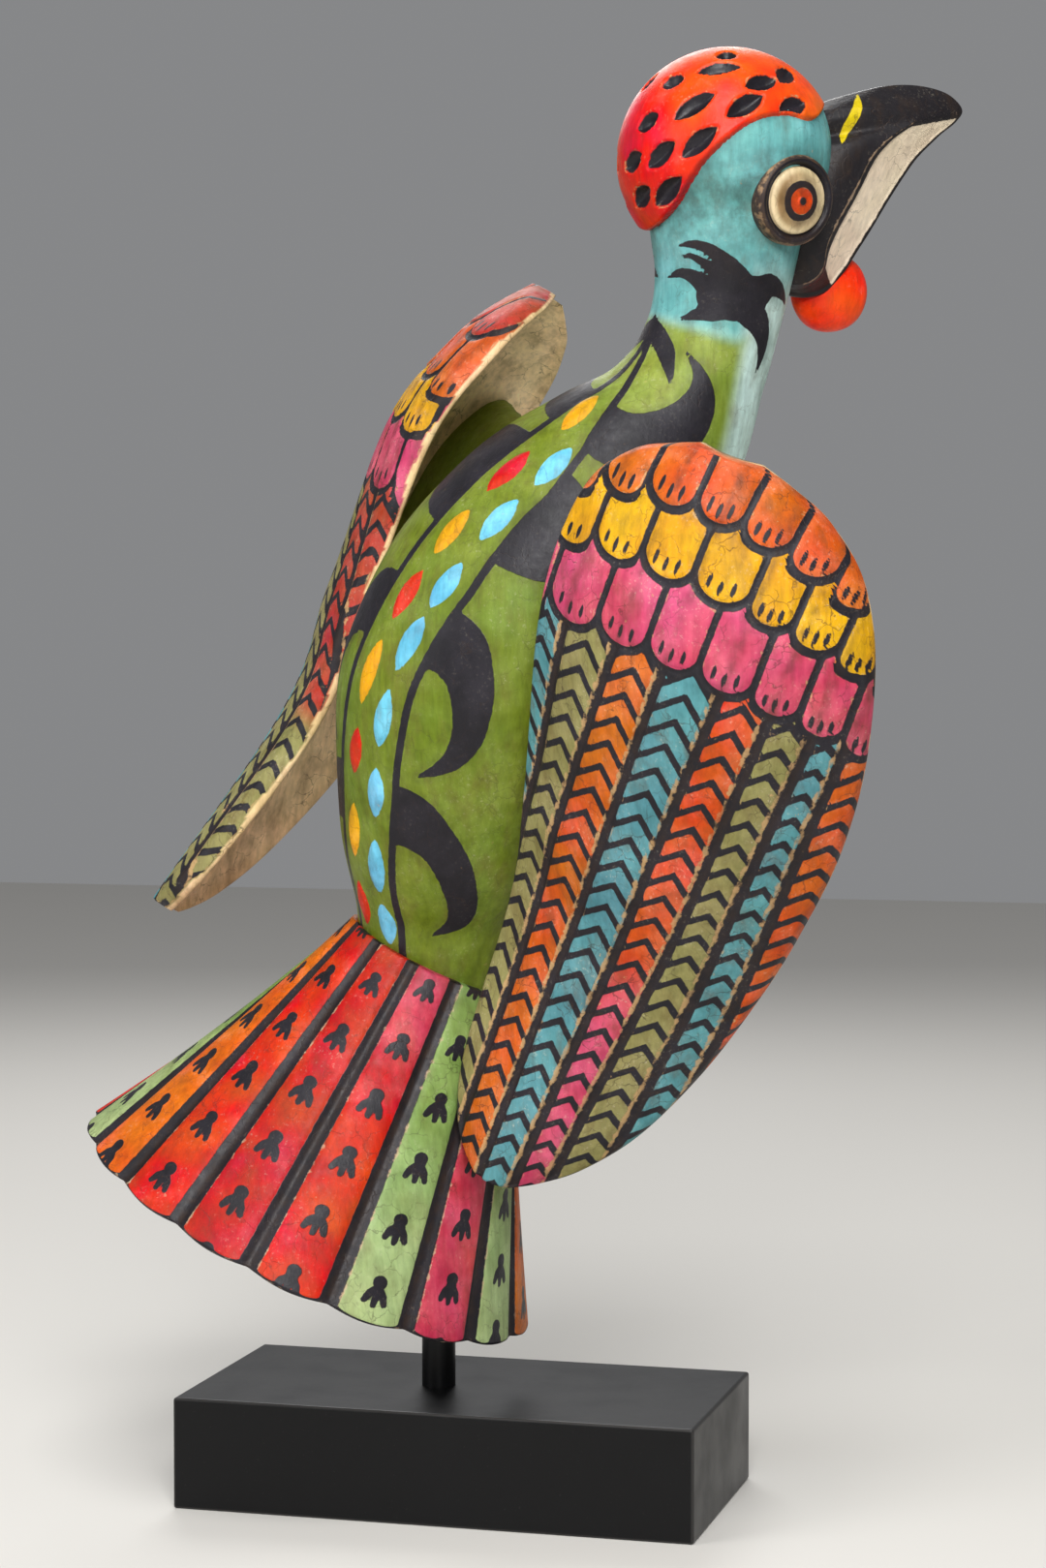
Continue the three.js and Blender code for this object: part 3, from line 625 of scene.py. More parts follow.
def flange_rings(side):
    share = np.linspace(0, 1, FLANGE_STEPS)
    along = FLANGE_FROM + (FLANGE_TO - FLANGE_FROM) * share
    across = FLANGE_TOP + (FLANGE_FOOT - FLANGE_TOP) * np.sqrt(share)
    edge = wing_point(side, along, across, np.full(FLANGE_STEPS, WING_THICK * 0.6))
    ends = [BODY_PATH[np.linalg.norm(BODY_PATH - e, axis=1).argmin()] for e in (edge[0], edge[-1])]
    root = ends[0] + (ends[1] - ends[0]) * share[:, None]
    middle = FLANGE_STEPS // 2
    thick = np.cross(edge[middle] - root[middle], ends[1] - ends[0])
    thick /= np.linalg.norm(thick)
    step = np.linspace(0, 1, 12)
    half = FLANGE_ROOT_HALF + (FLANGE_EDGE_HALF - FLANGE_ROOT_HALF) * ramp(step, 0.2, 0.95)
    web = root[:, None] + (edge - root)[:, None] * step[None, :, None]
    one = web + thick * half[None, :, None]
    other = web - thick * half[None, :, None]
    return np.concatenate((one, other[:, ::-1]), 1)


def joined(name, pieces):
    work = bmesh.new()
    for piece in pieces:
        work.from_mesh(piece.data)
        bpy.data.objects.remove(piece)
    return linked(name, mesh_of(name, work))


def in_head(points):
    return (points - HEAD_CENTRE) @ HEAD


def from_head(points):
    return points @ HEAD.T + HEAD_CENTRE


def from_head_turn(points):
    """Unit directions from the head's centre, turned into the figure's frame."""
    return points / np.linalg.norm(points, axis=1, keepdims=True) @ HEAD.T


def comb_inside(points):
    """Distance inside the comb's edge, in the head's side view, from the comb's middle."""
    return np.concatenate([comb_inside_part(part) for part in np.array_split(points, PARTS)])


def comb_inside_part(points):
    edge = through(COMB_EDGE, 160)
    near = np.linalg.norm((points + COMB_SHIFT)[:, None, (0, 2)] - edge[None], axis=2)
    nearest = near.argmin(1)
    run = np.gradient(edge, axis=0)[nearest]
    gap = (points + COMB_SHIFT)[:, (0, 2)] - edge[nearest]
    return np.sign(run[:, 0] * gap[:, 1] - run[:, 1] * gap[:, 0]) * near.min(1)


def body_strokes(high, out):
    """Distance to the nearest charcoal stroke, from places up and out from the band's middle."""
    here = np.stack((high, out), 1)
    half = table(BAND_HALF)(high)
    best = np.where(high < NECK_COLOUR_BREAK + 1, np.abs(out - half) - BAND_LINE, FAR)
    strokes = [WIDE_HOOK, SHOULDER_HOOK, NECK_HOOK, *NECK_FIGURE]
    for root in HOOK_ROOTS:
        edge = float(table(BAND_HALF)(root))
        strokes.append([(root + h, edge + o, w) for h, o, w in HOOK])
    outside_band = np.where(high < NECK_COLOUR_BREAK - 1, half - out, -FAR)
    for stroke in strokes:
        smooth = through(stroke, len(stroke) * 4)
        best = np.minimum(best, np.maximum(stroke_distance(here, smooth), outside_band))
    return best


def make_body(material):
    skull = loft_object("skull", from_head(ball_points(60, 96) * SKULL_RADIUS))
    flanges = [loft_object("flange", flange_rings(side)) for side in ("right", "left")]
    rough = joined("rough_body", [loft_object("trunk", body_rings()), skull, *flanges])
    remesh = rough.modifiers.new("union", "REMESH")
    remesh.mode = "VOXEL"
    remesh.voxel_size = CARVING_VOXEL * MM
    smooth = rough.modifiers.new("rounding", "SMOOTH")
    smooth.factor = 0.5
    smooth.iterations = CARVING_SMOOTH
    piece = finished_copy(rough, "body_carving")

    points = unplaced(read(piece.data.vertices, "co"))
    outward = read(piece.data.vertex_normals, "vector") @ FIGURE
    high, angle, radius = body_places(points)
    across = (angle - table(BAND_MIDDLE)(high) + 180) % 360 - 180
    side = np.sign(across)
    out = np.abs(np.radians(across)) * radius
    head = in_head(points)
    ink = body_strokes(high, out)
    spot_edge = np.full(len(points), FAR)
    spot = paint_row(len(points), PAINT["spot_blue"])
    for k, (left, right) in enumerate(zip(LEFT_SPOTS, RIGHT_SPOTS)):
        warm = "spot_red" if k % 2 else "spot_yellow"
        for at, hand, reach, shade in ((left, 1, SPOT_OUT_LEFT, warm),
                                       (right, -1, SPOT_OUT_RIGHT, "spot_blue")):
            centre = min(reach, float(table(BAND_HALF)(at)) - SPOT_WIDE * 0.75)
            gap = lens_distance(high - at, side * hand * out - centre, SPOT_LONG, SPOT_WIDE)
            spot[gap < 2.5] = linear(PAINT[shade])
            spot_edge = np.minimum(spot_edge, gap)
    points = points + outward * (SPOT_RISE * ramp(-spot_edge, -0.6, 2.2))[:, None]

    under_comb = comb_inside(head - COMB_SHIFT)
    hidden = ramp(under_comb, 2, 5) * ramp(head[:, 2], -20, -10)
    points = points - from_head_turn(head) * (SKULL_SUNK * hidden)[:, None]
    ink = np.where((under_comb > 0.9) & (head[:, 2] > -15), -1.0, ink)

    front = np.abs(across)
    ground = paint_row(len(points), PAINT["green"])
    lighter = 0.6 * ramp(high, *LIGHT_GREEN_HEIGHTS) + 0.25 * ramp(out, 40, 75) * ramp(high, 60, 130)
    ground = tint(ground, PAINT["light_green"], lighter)
    neck = ramp(high, NECK_COLOUR_BREAK - 3, NECK_COLOUR_BREAK + 5)
    throat = ramp(front, *THROAT_ANGLES) * ramp(high, *THROAT_HEIGHTS)
    pale = np.maximum(neck, throat)
    ground = tint(ground, PAINT["pale_blue"], pale)
    nape = ramp(high, *NAPE_HEIGHTS) * (1 - ramp(front, *NAPE_ANGLES))
    teal = np.maximum(nape, ramp(high, *TEAL_HEIGHTS))
    ground = tint(ground, PAINT["teal"], teal)
    # Painted shade under the head and towards the foot of the body, a little darker beside the charcoal
    # strokes, and brown dirt with painted shade round the lower rear of the eye disc
    grime = 0.45 * ramp(-head[:, 2], -12, 20) * ramp(high, 318, 345) + 0.35 * ramp(70 - high, 0, 50)
    grime = np.maximum(grime, 0.3 * ramp(3.5 - np.abs(ink), 0, 3.5) * (ink > 0))
    from_eye = np.linalg.norm(head * (1, 0, 1) - (EYE_FOOT[0] - 4, 0, EYE_FOOT[2] - 3), axis=1)
    grime = np.maximum(grime, 0.5 * ramp(EYE_DIRT_AND_SHADE_REACH - from_eye, 0, EYE_DIRT_AND_SHADE_FADE)
                       * ramp(high, *HEAD_DIRT_AND_SHADE_HEIGHTS))
    move_points(piece, points)
    lay_paint(piece, ground, ink=ink, spot=spot, spot_edge=spot_edge, grime=grime)
    finish_piece(piece, material, "body")


# Comb

def gouge_places():
    """Middle, long direction and length in mm of each gouge, as seen from the comb's middle.
    Each row of GOUGES is its place on the right half in degrees sideways and upwards from the
    comb's pole, its lean from upright and its length in degrees. The left half mirrors those
    that aren't on the crest."""
    side = np.array((0.0, 1.0, 0.0))
    up = np.cross(COMB_POLE, side)
    for across, rise, lean, long in GOUGES:
        for hand in (-1, 1) if across > CREST_HALF else (1,):
            polar = radians(np.hypot(across, rise))
            flat = (rise * up + hand * across * side) / np.hypot(across, rise)
            middle = cos(polar) * COMB_POLE + sin(polar) * flat
            outwards = cos(polar) * flat - sin(polar) * COMB_POLE
            round_ = np.cross(middle, outwards)
            way = cos(radians(lean)) * up + hand * sin(radians(lean)) * side
            way_out = way @ flat
            way_round = way @ np.cross(COMB_POLE, flat)
            length = radians(long) * COMB_RADIUS * GOUGE_LENGTH_SHARE
            yield middle, way_out * outwards + way_round * round_, length


def make_comb(material):
    work = bmesh.new()
    bmesh.ops.create_icosphere(work, subdivisions=7, radius=1)
    ball = mesh_of("comb", work)
    way = read(ball.vertices, "co")
    count = len(way)
    way /= np.linalg.norm(way, axis=1, keepdims=True)
    faces = [tuple(p.vertices) for p in ball.polygons]

    inside = comb_inside(way * COMB_RADIUS)

    gouge = np.full(count, FAR)
    for centre, along, length in gouge_places():
        over = np.cross(centre, along)
        facing = way @ centre > 0.5
        lens = lens_distance(way @ along * COMB_RADIUS, way @ over * COMB_RADIUS, length, GOUGE_WIDE)
        gouge = np.where(facing, np.minimum(gouge, lens), gouge)
    gouge = np.where(inside > 0.5, np.maximum(gouge, 1.2 - inside), FAR)
    sunk = GOUGE_DEEP * np.sqrt(np.clip(-gouge / (GOUGE_WIDE * 0.42), 0, 1))
    rim = COMB_INSIDE + (COMB_RADIUS - COMB_INSIDE) * ramp(inside, -1.2, 1.4)
    points = from_head(way * (rim - sunk)[:, None] + COMB_SHIFT)
    piece = make_object("comb_cap", points, faces)

    # The comb is painted more orange on its upper front right side: a painted highlight where the light
    # falls
    warm = ramp(way @ np.array((0.55, -0.5, 0.67)), -0.5, 0.9)
    ground = tint(paint_row(count, PAINT["comb_red"]), PAINT["comb_lit_side_orange"], warm)
    # The comb is darker along its edge where it meets the head
    lay_paint(piece, ground, ink=gouge + 0.15, worn=np.abs(gouge - 0.2) + 0.55,
              grime=0.5 * ramp(2.5 - inside, 0, 2.5) * (inside > 0))
    finish_piece(piece, material, "body")


# Beak and wattle

def beak_ring(angle, ridge, rim, half):
    """One section's side, from its root to the ridge: reach, half width, mm past the rim, and
    mm short of the ridge."""
    side = through(((BEAK_ROOT, half * 0.7), (rim * 0.6 + 8, half * 1.03), (rim, half)), 96)
    slope = np.linspace(0, 1, 36)[1:]
    run = np.array((ridge - rim, BEAK_RIDGE_HALF - half))
    length = float(np.hypot(*run))
    bevel = np.array((rim, half)) + slope[:, None] * run
    inward = np.array((run[1], -run[0])) / length
    past = slope * length
    depth = BEAK_PANEL_SUNK * ramp(past, BEAK_LIP * 0.8, BEAK_LIP * 1.5) * ramp(length - past, 1.2, 2.4)
    depth = depth * ramp(-angle, -10.5, -7.5)
    bevel = bevel + inward * depth[:, None]
    before = np.linalg.norm(side - side[-1], axis=1)
    return (np.vstack((side, bevel)), np.concatenate((-before, past)),
            np.concatenate((before + length, length - past)))


def make_beak(material):
    rings, past, short, level = [], [], [], []
    for angle, ridge, rim, half in through(BEAK_SECTIONS, 260):
        side, over, left = beak_ring(angle, ridge, rim, half)
        way = np.array((cos(radians(angle)), 0, sin(radians(angle))))
        near = side[:, :1] * way + side[:, 1:] * np.array((0, -1, 0))
        far = near * (1, -1, 1)
        rings.append(np.vstack((near, far[::-1])))
        past.append(np.concatenate((over, over[::-1])))
        short.append(np.concatenate((left, left[::-1])))
        level.append(np.full(len(over) * 2, angle))
    rings = np.array(rings)
    piece = loft_object("beak_carving", from_head(rings))
    past, short, level = (with_ends(np.array(v)) for v in (past, short, level))
    place = with_ends(rings)
    count = len(past)
    panel = -np.minimum.reduce((past - BEAK_LIP, short - 1.6, (10.2 - level) * 1.2, (level + 48.5) * 0.9))
    top, foot, half_wide = NOSTRIL
    run = np.array(foot) - top
    middle = (np.array(foot) + top) / 2
    length = float(np.hypot(*run))
    gap = place[:, (0, 2)] - middle
    along = gap @ run / length
    over = (gap[:, 0] * run[1] - gap[:, 1] * run[0]) / length
    nostril = np.where(level > -8, lens_distance(along, over, length, half_wide * 2), FAR)
    spot = paint_row(count, PAINT["cream"])
    spot[(past < 0) | (level > 11)] = linear(PAINT["nostril"])
    # Grey lines along the lip and the crown; the lip's line is a painted highlight on the bevel as well
    # as rubbed paint
    lip = np.where((level < 13) & (level > -60), np.abs(past - 0.6), FAR)
    crown = np.where(level > 11, short * 0.9 + 0.9, FAR)
    # The sunk cream panel is darker near its edge: painted shade in the recess
    lay_paint(piece, linear(PAINT["black"]), spot=spot, spot_edge=np.minimum(panel, nostril),
              worn=np.minimum(np.minimum(lip, crown), np.abs(nostril - 0.3) + 1.2),
              grime=0.25 * (panel < 0) * ramp(1.5 + panel, 0, 1.5))
    finish_piece(piece, material, "body")


def make_wattle(material):
    ball = ball_points(70, 110)
    swell = 1 + 0.012 * np.sin(ball[..., :1] * 5 + 1) * np.cos(ball[..., 2:] * 4)
    piece = loft_object("wattle_ball", from_head(ball * swell * WATTLE_HALVES + WATTLE_PLACE))
    lay_paint(piece, linear(PAINT["wattle"]))
    finish_piece(piece, material, "body")


# Eyes

def make_eye(side, material):
    hand = 1 if side == "left" else -1
    curve = through(EYE_PROFILE, 110)[1:-1]
    curve[:, 0] = np.maximum(curve[:, 0], 0.05)
    round_ = np.linspace(0, 2 * pi, 120, endpoint=False)
    axis = np.array((sin(EYE_TURN), hand * cos(EYE_TURN), -sin(EYE_DOWN)))
    axis /= np.linalg.norm(axis)
    over = np.cross(axis, (0, 0, 1.0))
    over /= np.linalg.norm(over)
    up = np.cross(over, axis)
    foot = np.array(EYE_FOOT) * (1, hand, 1)
    flat = np.cos(round_)[None, :, None] * over + np.sin(round_)[None, :, None] * up
    rings = foot + curve[:, None, 1:] * axis + curve[:, None, :1] * flat
    piece = loft_object("eye_disc_" + side, from_head(rings))
    reach = with_ends(np.repeat(curve[:, :1], len(round_), 1))
    rise = with_ends(np.repeat(curve[:, 1:], len(round_), 1))
    low = with_ends(np.repeat(-np.sin(round_)[None], len(curve), 0))
    ground = np.where((reach < EYE_GROOVE[0])[:, None], linear(PAINT["eye_cream"]),
                      linear(PAINT["eye_ring"]))
    # Brown stain on the dome's cream, made heavier on its rear side by painted shade
    rear = with_ends(np.repeat(-hand * np.cos(round_)[None], len(curve), 0))
    stain = ramp(reach, 11.3, 9) * (reach < EYE_GROOVE[0]) * (0.5 + 0.4 * rear)
    ground = tint(ground, PAINT["eye_stain_and_shade"], stain)
    iris = np.abs(reach - (EYE_IRIS + EYE_PUPIL) / 2) - (EYE_IRIS - EYE_PUPIL) / 2
    nail = np.where(reach < 3, reach - EYE_NAIL, FAR)
    ink = np.minimum(iris, nail)
    ink = np.where((reach > EYE_GROOVE[0]) & (reach < EYE_GROOVE[1]) & (rise > 0), -1.0, ink)
    worn = np.where(rise > 0, np.abs(reach - 16.1) + 0.25, FAR)
    # Painted shade on the lower half of the ring, and the cream darker towards the iris
    grime = np.where(reach > EYE_GROOVE[0] + 0.4, 0.6 * ramp(low, -0.2, 0.9),
                     0.55 * ramp(reach, 10.5, 7))
    lay_paint(piece, ground, ink=ink, spot=linear(PAINT["pupil"]),
              spot_edge=reach - EYE_PUPIL, worn=worn, grime=grime)
    finish_piece(piece, material, "eye_" + side)


# Wings

wing_width = profile(WING_WIDTHS)
wing_rise = profile(WING_BEND)


def wing_flat(side, along, across):
    """Place on the board seen square on: mm forward of its middle line, and mm down from its top."""
    pose = WING_POSES[side]
    half = WING_HALF * wing_width(along) * (1 + pose["taper"] * (along - 0.5))
    trim = np.where(across > 0, pose["trim"] * (1 + 2 * np.exp(-along / SHOULDER_REACH)), 0)
    return WING_BOW * np.sin(pi * along) + half * across * (1 - trim), half


def wing_point(side, along, across, depth):
    """Points of a wing board in the figure's frame."""
    pose = WING_POSES[side]
    forward, half = wing_flat(side, along, across)
    out = wing_rise(along) - WING_CAMBER * across ** 2 * half / WING_HALF - depth
    local = np.stack((forward, out, (0.5 - along) * WING_LENGTH), -1)
    sweep, splay, twist = (radians(pose[k]) for k in ("sweep", "splay", "twist"))
    board = turn(sweep, 0, 0) @ turn(0, 0, splay) @ turn(0, twist, 0)
    local = local @ board.T + np.array(pose["place"])
    if side == "right":
        local = local * (1, -1, 1)
    return local @ BIRD.T + BIRD_CENTRE


def scallop_rows(side):
    """The left wing has one more row, and its rows reach further down."""
    if side == "right":
        return SCALLOP_ROWS
    lower = tuple((bottom + LEFT_ROWS_DROP, *rest) for bottom, *rest in SCALLOP_ROWS)
    return (LEFT_TOP_ROW, *lower)


def scallops(rows, forward, down):
    """Row that owns each place (their count below them all), distance past its outline, and
    distance to the claw marks."""
    owner = np.full(forward.shape, len(rows))
    line = np.full(forward.shape, FAR)
    claws = np.full(forward.shape, FAR)
    for row, (bottom, curve, _, sides) in enumerate(rows):
        at = np.clip(np.searchsorted(sides, forward) - 1, 0, len(sides) - 2)
        sides = np.array(sides, float)
        half = (sides[at + 1] - sides[at]) / 2
        u = forward - sides[at] - half
        tall = half * SCALLOP_ROUND
        middle = bottom + curve * (forward - u) ** 2 - tall + SCALLOP_LEAN * u
        below = np.maximum(down - middle, 0)
        reach = np.hypot(u, below / SCALLOP_ROUND)
        free = owner == len(rows)
        mine = free & (reach <= half)
        foot = SCALLOP_LINE + (SCALLOP_FOOT - SCALLOP_LINE) * np.clip(below / tall, 0, 1)
        line = np.where(free, np.minimum(line, np.abs(half - reach) - foot), line)
        for claw in (-1, 0, 1):
            tip = tall * (0.62 - 0.12 * abs(claw))
            share = np.clip((down - middle - tip) / CLAW_LONG + 1, 0, 1)
            width = CLAW_HALF * (0.35 + 0.65 * np.sin(pi * share) ** 0.6)
            mark = np.hypot(u - claw * CLAW_GAP * half, down - middle - tip - (share - 1) * CLAW_LONG)
            claws = np.where(mine, np.minimum(claws, mark - width), claws)
        owner = np.where(mine, row, owner)
    return owner, line, claws


def wing_paint(side, along, across, forward):
    """Ground colour, ink, worn ridge and painted highlight line, relief and distance to the feather's
    side, outer face.
    """
    down = along * WING_LENGTH
    scallop_list = scallop_rows(side)
    owner, outline, claws = scallops(scallop_list, forward, down)
    below = owner == len(scallop_list)
    lines = np.stack([table(line)(down) for line in DIVIDERS])
    feather = (forward[None] > lines).sum(0)
    fenced = np.vstack((lines[:1] - 18, lines, lines[-1:] + 16))
    rows = np.arange(len(forward))
    low, high = fenced[feather, rows], fenced[feather + 1, rows]
    to_line = np.minimum(forward - low, high - forward)
    middle = np.abs(forward - (low + high) / 2)
    shift = CHEVRON_PITCH / 2 - CHEVRON_STARTS[feather]
    wave = (down - CHEVRON_SLOPE * middle + shift) % CHEVRON_PITCH
    chevron = np.abs(wave - CHEVRON_PITCH / 2) / np.hypot(1, CHEVRON_SLOPE) - CHEVRON_HALF
    groove = to_line - DIVIDER_HALF
    ink = np.where(below, np.minimum(np.minimum(chevron, groove), outline), np.minimum(outline, claws))
    ground = np.zeros((len(forward), 3))
    for row, (_, _, shade, _) in enumerate(scallop_list):
        ground[owner == row] = linear(WING_PAINT[shade])
    for index, shade in enumerate(FEATHER_COLOURS[side]):
        ground[below & (feather == index)] = linear(WING_PAINT[shade])
    if side == "right":
        change = (below & (feather == 4)) * ramp(along, *PINK_FROM)
        ground = tint(ground, WING_PAINT["pink"], change)
    else:
        change = (below & (feather < 2)) * ramp(along, *KHAKI_FROM)
        ground = tint(ground, WING_PAINT["khaki"], change)
    # Along each groove a rubbed line in the wood's colour, strong on one side only: worn paint, and a
    # painted highlight where the feather's edge catches the light
    before_line = high - forward < forward - low
    worn = np.abs(groove - 0.4) + np.where(before_line, -0.1, 0.7)
    worn = np.where(below, worn, np.abs(outline - 0.3) + 0.55)
    relief = np.where(below, -DIVIDER_DEEP * ramp(-groove, -0.8, 1.2),
                      -OUTLINE_DEEP * ramp(-outline, -1.0, 0.8))
    step = np.where(below, 0.0, SCALLOP_LIFT - SCALLOP_STEP * owner)
    return ground, ink, worn, relief + step, to_line


def make_wing(side, material):
    along = (1 - np.cos(np.linspace(0, pi, WING_ROWS))) / 2
    along = 0.35 * along + 0.65 * np.linspace(0, 1, WING_ROWS)
    across, share = board_section(-1.0, 1.0, WING_ACROSS, WING_EDGE_STEPS, WING_INNER)
    a, c = (g.ravel() for g in np.meshgrid(along, across, indexing="ij"))
    depth_share = np.tile(share, len(along))
    rounding = np.sin(depth_share * pi) ** 0.7
    forward, half = wing_flat(side, a, c)
    wrapped = forward + np.sign(c) * (np.abs(c) == 1) * depth_share * WING_THICK
    ground, ink, worn, relief, to_line = wing_paint(side, a, c, wrapped)
    outer_face = depth_share == 0
    near_edge = np.minimum(1, (1 - np.abs(c)) * half / WING_EDGE_FADE)
    depth = depth_share * WING_THICK - np.where(outer_face, relief * near_edge, 0)
    grown = c * (1 + WING_EDGE_ROUND * rounding / np.maximum(half, 8))
    rings = wing_point(side, a, grown, depth).reshape(len(along), len(across), 3)
    piece = loft_object("wing_board_" + side, rings)

    limit = WING_PAINT_TURN + 0.1 * np.sin(a * 37) + 0.06 * np.sin(a * 91)
    painted = depth_share < limit
    # The bare inner face is painted paler than the wood itself: painted light on a face the lamps hardly
    # reach
    bare = paint_row(len(a), PAINT["bare"])
    rim_band = np.minimum((1 - np.abs(c)) * half, FAR)
    bare = tint(bare, PAINT["rim_wood"], 0.35 * ramp(9 - rim_band, 0, 9))
    ground = np.where(painted[:, None], ground, bare)
    ink = np.where(painted, ink, FAR)
    valley = np.abs(forward + 10 - 40 * a) / 1.2
    paint_end = np.where(c < 0, np.abs(limit - depth_share) * WING_THICK, FAR)
    worn = np.where(painted, np.minimum(worn, paint_end), FAR)
    # Painted shade along the divider grooves and in the inner face's valley, and the inner face darker
    # towards the tip
    grime = np.where(painted, 0.5 * np.exp(-(to_line / 1.6) ** 2),
                     0.2 * np.exp(-(valley / 2) ** 2) + 0.2 * ramp(a, 0.6, 1))
    lay_loft_paint(piece, (len(along), len(across)), ground, ink=ink, worn=worn, grime=grime)
    finish_piece(piece, material, "wing_" + side)


# Tail

def tail_point(rim, share, depth, reach):
    """Points of the fan: rim angle in degrees, share 0 at the ring to 1 at the rim."""
    def spot(angle, radius, drop):
        turned = np.radians(angle - TAIL_TO_SIDE)
        return np.stack((-np.cos(turned) * radius, -np.sin(turned) * radius, drop), -1)
    ring = spot(rim * RING_SPREAD + RING_SHIFT, TAIL_RING_RADIUS - depth, np.zeros_like(rim))
    end = spot(rim, TAIL_RIM_RADIUS - depth, np.full_like(rim, -TAIL_LENGTH))
    local = ring + (end - ring) * (share * reach)[:, None]
    swell = 1 + TAIL_BULGE * np.sin(pi * np.clip(share, 0, 1)) / TAIL_RIM_RADIUS
    local[:, :2] *= swell[:, None]
    return local @ BIRD.T + TAIL_RING


def paw_distance(u, v):
    """Distance to a small paw mark: a round head and three fingers that point down the feather."""
    here = np.stack((u, v), 1)
    mark = np.hypot(u, v + PAW_HEAD_UP) - PAW_HEAD_RADIUS
    for tip in PAW_FINGERS:
        finger = ((tip * 0.15, -1.5, 1.3), (tip * 0.7, 2.2, 1.7), (tip, 6.6 - abs(tip) * 0.25, 1.3))
        mark = np.minimum(mark, stroke_distance(here, finger))
    return mark


def make_tail(material):
    span = TAIL_FEATHERS * FEATHER_ANGLE
    rim = TAIL_RIGHT_EDGE - np.linspace(0, span, TAIL_COLUMNS)
    share, deep = board_section(0.0, 1.0, TAIL_ROWS, TAIL_EDGE_STEPS, TAIL_INNER)
    r, s = (g.ravel() for g in np.meshgrid(rim, share, indexing="ij"))
    d = np.tile(deep, len(rim))
    inside = (TAIL_RIGHT_EDGE - r) / FEATHER_ANGLE
    feather = np.clip(inside.astype(int), 0, TAIL_FEATHERS - 1)
    width = np.radians(FEATHER_ANGLE) * (TAIL_RING_RADIUS * RING_SPREAD * (1 - s) + TAIL_RIM_RADIUS * s)
    u = (inside - feather - 0.5) * width
    to_line = width / 2 - np.abs(u)
    channel_dip = CHANNEL_DEEP * np.exp(-(to_line / (CHANNEL_HALF * 0.9)) ** 2)
    sunk = channel_dip - FEATHER_SWELL * (1 - (2 * u / width) ** 2)
    bead = np.sin(d * pi) ** 0.8 * (s >= 1) * RIM_BEAD
    depth = d * TAIL_THICK + np.where(d == 0, sunk, 0)
    reach = 1 + RIM_SCALLOP * np.cos(u / width * pi) * s + bead / TAIL_LENGTH
    rings = tail_point(r, s, depth, reach).reshape(len(rim), len(share), 3)
    piece = loft_object("tail_fan", rings)

    length = s * FEATHER_LENGTH
    lag = (feather * PAW_STAGGER) % PAW_PITCH
    v = (length - lag + PAW_PITCH / 2) % PAW_PITCH - PAW_PITCH / 2
    size = np.clip(width / 24, 0.62, 1) * PAW_SIZE
    paws = paw_distance(u / size, v / size) * size
    outside = d < FAN_PAINT_TURN
    channel = to_line - CHANNEL_HALF * (0.75 + 0.35 * s)
    ink = np.where(outside, np.minimum(paws, channel), FAR)
    ink = np.where(s >= 1, -1.0, ink)
    ground = np.zeros((len(r), 3))
    for index, shade in enumerate(TAIL_COLOURS):
        ground[feather == index] = linear(TAIL_PAINT[shade])
    rosy = (feather == 4) * ramp(0.55 - s, 0, 0.4)
    ground = tint(ground, TAIL_PAINT["rose"], rosy)
    mossy = (ground == linear(TAIL_PAINT["green"])).all(1) * ramp(s, 0.35, 0.9)
    ground = tint(ground, TAIL_PAINT["pale_green"], mossy)
    ground = np.where(outside[:, None], ground, linear(PAINT["fan_wood"]))
    # Along each channel a rubbed line in the wood's colour, strong on one side only: worn paint, and a
    # painted highlight where the feather's edge catches the light
    line = np.where(u > 0, np.abs(channel - 0.1) + 0.35, np.abs(channel) + 0.95)
    worn = np.where(outside & (s < 1), line, np.where(outside, 0.9, FAR))
    # Painted shade along the channels and where the fan meets the ring, and the whole inner face darker
    grime = np.where(outside, 0.65 * ramp(3.5 - to_line, 0, 3.5) + 0.3 * ramp(0.12 - s, 0, 0.12), 0.6)
    lay_loft_paint(piece, (len(rim), len(share)), ground, ink=ink, worn=worn, grime=grime)
    finish_piece(piece, material, "tail")


# Stand

def make_block(material):
    work = bmesh.new()
    bmesh.ops.create_cube(work, size=1)
    bmesh.ops.scale(work, vec=[s * MM for s in BLOCK_SIZE], verts=work.verts)
    bmesh.ops.translate(work, vec=(0, 0, BLOCK_SIZE[2] * MM / 2), verts=work.verts)
    bmesh.ops.bevel(work, geom=work.edges[:], offset=BLOCK_EDGE * MM, segments=4, profile=0.5,
                    affect="EDGES")
    long_edges = [e for e in work.edges if e.calc_length() > 10 * MM]
    bmesh.ops.subdivide_edges(work, edges=long_edges, cuts=30, use_grid_fill=True)
    piece = linked("stand_block", mesh_of("stand_block", work))
    places = read(piece.data.vertices, "co") / MM
    long_half, wide_half, high = BLOCK_SIZE[0] / 2, BLOCK_SIZE[1] / 2, BLOCK_SIZE[2]
    to_faces = np.stack((long_half - np.abs(places[:, 0]), wide_half - np.abs(places[:, 1]),
                         np.minimum(places[:, 2], high - places[:, 2])), 1)
    lay_number(piece, "worn", np.sort(to_faces, axis=1)[:, 1])
    finish_piece(piece, material, "base_block")


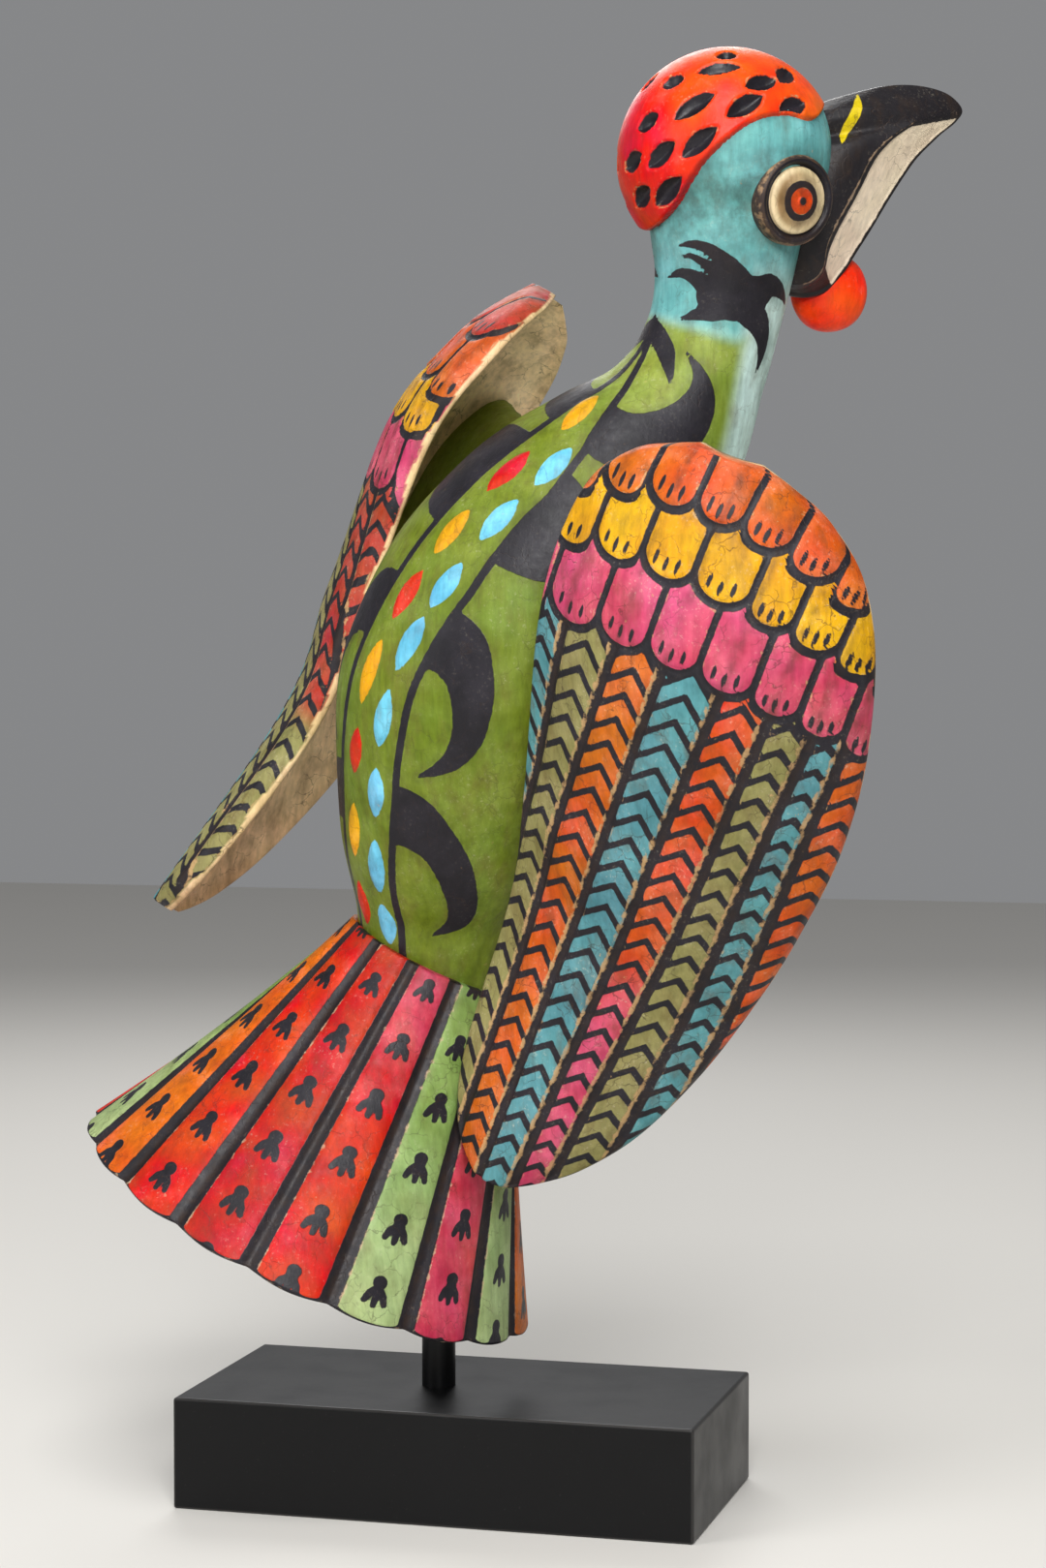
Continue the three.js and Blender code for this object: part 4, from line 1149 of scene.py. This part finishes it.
def make_rod(material):
    angle = np.linspace(0, 2 * pi, ROD_SIDES, endpoint=False)
    rings = []
    for radius, high in ((ROD_RADIUS - ROD_CHAMFER, ROD_FOOT), (ROD_RADIUS, ROD_FOOT + ROD_CHAMFER),
                         *((ROD_RADIUS, h) for h in np.linspace(30, ROD_TOP - 2, 30)),
                         (ROD_RADIUS - ROD_CHAMFER, ROD_TOP)):
        rings.append(np.stack((np.cos(angle) * radius, np.sin(angle) * radius,
                               np.full(ROD_SIDES, high)), -1))
    piece = loft_object("stand_rod", np.array(rings))
    lay_number(piece, "worn", np.full(len(piece.data.vertices), FAR))
    finish_piece(piece, material, "rod")


# Floor, light and camera

def aim(holder, place, looks):
    holder.location = place
    holder.rotation_mode = "QUATERNION"
    holder.rotation_quaternion = looks.to_track_quat("-Z", "Y")


def make_studio():
    bpy.ops.mesh.primitive_plane_add(size=FLOOR_SIZE)
    floor = bpy.context.object
    floor.name = "floor"
    material = bpy.data.materials.new("pale_floor")
    material.use_nodes = True
    surface = material.node_tree.nodes["Principled BSDF"]
    surface.inputs["Base Color"].default_value = (*linear(FLOOR_COLOUR), 1)
    surface.inputs["Roughness"].default_value = FLOOR_ROUGH
    floor.data.materials.append(material)
    for name, place, size, power in LIGHTS:
        lamp = bpy.data.lights.new(name, "AREA")
        lamp.size = size
        lamp.energy = power
        aim(linked(name, lamp), place, Vector(LIGHTS_AIM) - Vector(place))
    world = bpy.data.worlds.new("studio")
    world.use_nodes = True
    background = world.node_tree.nodes["Background"]
    background.inputs["Color"].default_value = SKY
    background.inputs["Strength"].default_value = SKY_STRENGTH
    bpy.context.scene.world = world
    bpy.context.scene.view_settings.view_transform = "Standard"


def make_camera():
    data = bpy.data.cameras.new("camera")
    data.sensor_width = SENSOR_MM
    data.lens = CAMERA_FOCAL_PX / PHOTO_LONG_SIDE_PX * SENSOR_MM
    camera = linked("camera", data)
    looks = Vector((-sin(CAMERA_AZIMUTH) * cos(CAMERA_DOWN), cos(CAMERA_AZIMUTH) * cos(CAMERA_DOWN),
                    -sin(CAMERA_DOWN)))
    aim(camera, CAMERA_PLACE, looks)
    bpy.context.scene.camera = camera


# Distemper on the carved bird: green, teal and charcoal, patchy, stained brown and dusty
body_paint = painted_wood("distemper_on_limewood", rough=0.5, mottle=0.34, scuffs=0.4, soil=0.4,
                          crackle=0.3)
# The comb's red is smoother and shinier, and rubbed at the lips of its gouges
comb_paint = painted_wood("red_gloss_on_limewood", rough=0.38, mottle=0.2, scuffs=0.3, soil=0.12,
                          crackle=0.15)
# The beak's black is thick and grey along its rim, rubbed and with a painted highlight on the lip's
# bevel, its cream is crazed
beak_paint = painted_wood("black_distemper_on_limewood", rough=0.45, mottle=0.16, scuffs=0.3,
                          soil=0.12, crackle=0.5, under="#9A9084")
# The wings' colours lie thinly over bare, dry wood with a web of fine cracks
wing_paint_finish = painted_wood("thin_distemper_on_wing", rough=0.55, mottle=0.3, scuffs=0.8,
                                 soil=0.5, crackle=0.65)
# The tail's reds and greens are darkened with brown along the channels where the feathers meet, as
# painted shade in the grooves
tail_paint_finish = painted_wood("stained_distemper_on_tail", rough=0.5, mottle=0.32, scuffs=0.45,
                                 soil=0.32, crackle=0.5, under="#CDB9A0")
# The eyes' cream is yellowed and darkened round its edge, with painted shade on the ring's lower half and
# the dome's rear side
eye_paint_finish = painted_wood("yellowed_cream_on_turned_wood", rough=0.45, mottle=0.3, scuffs=0.4,
                                soil=0.5, crackle=0.5, under="#94806A")
# Satin black lacquer and enamel, a little dusty, rubbed grey along the edges
block_finish = black_finish("satin_lacquer_on_wood", 0.36, "#4A4846")
rod_finish = black_finish("satin_enamel_on_steel", 0.32, "#3A3A3A")

make_studio()
make_camera()
make_body(body_paint)
make_comb(comb_paint)
make_beak(beak_paint)
make_wattle(comb_paint)
for hand in ("right", "left"):
    make_wing(hand, wing_paint_finish)
    make_eye(hand, eye_paint_finish)
make_tail(tail_paint_finish)
make_block(block_finish)
make_rod(rod_finish)
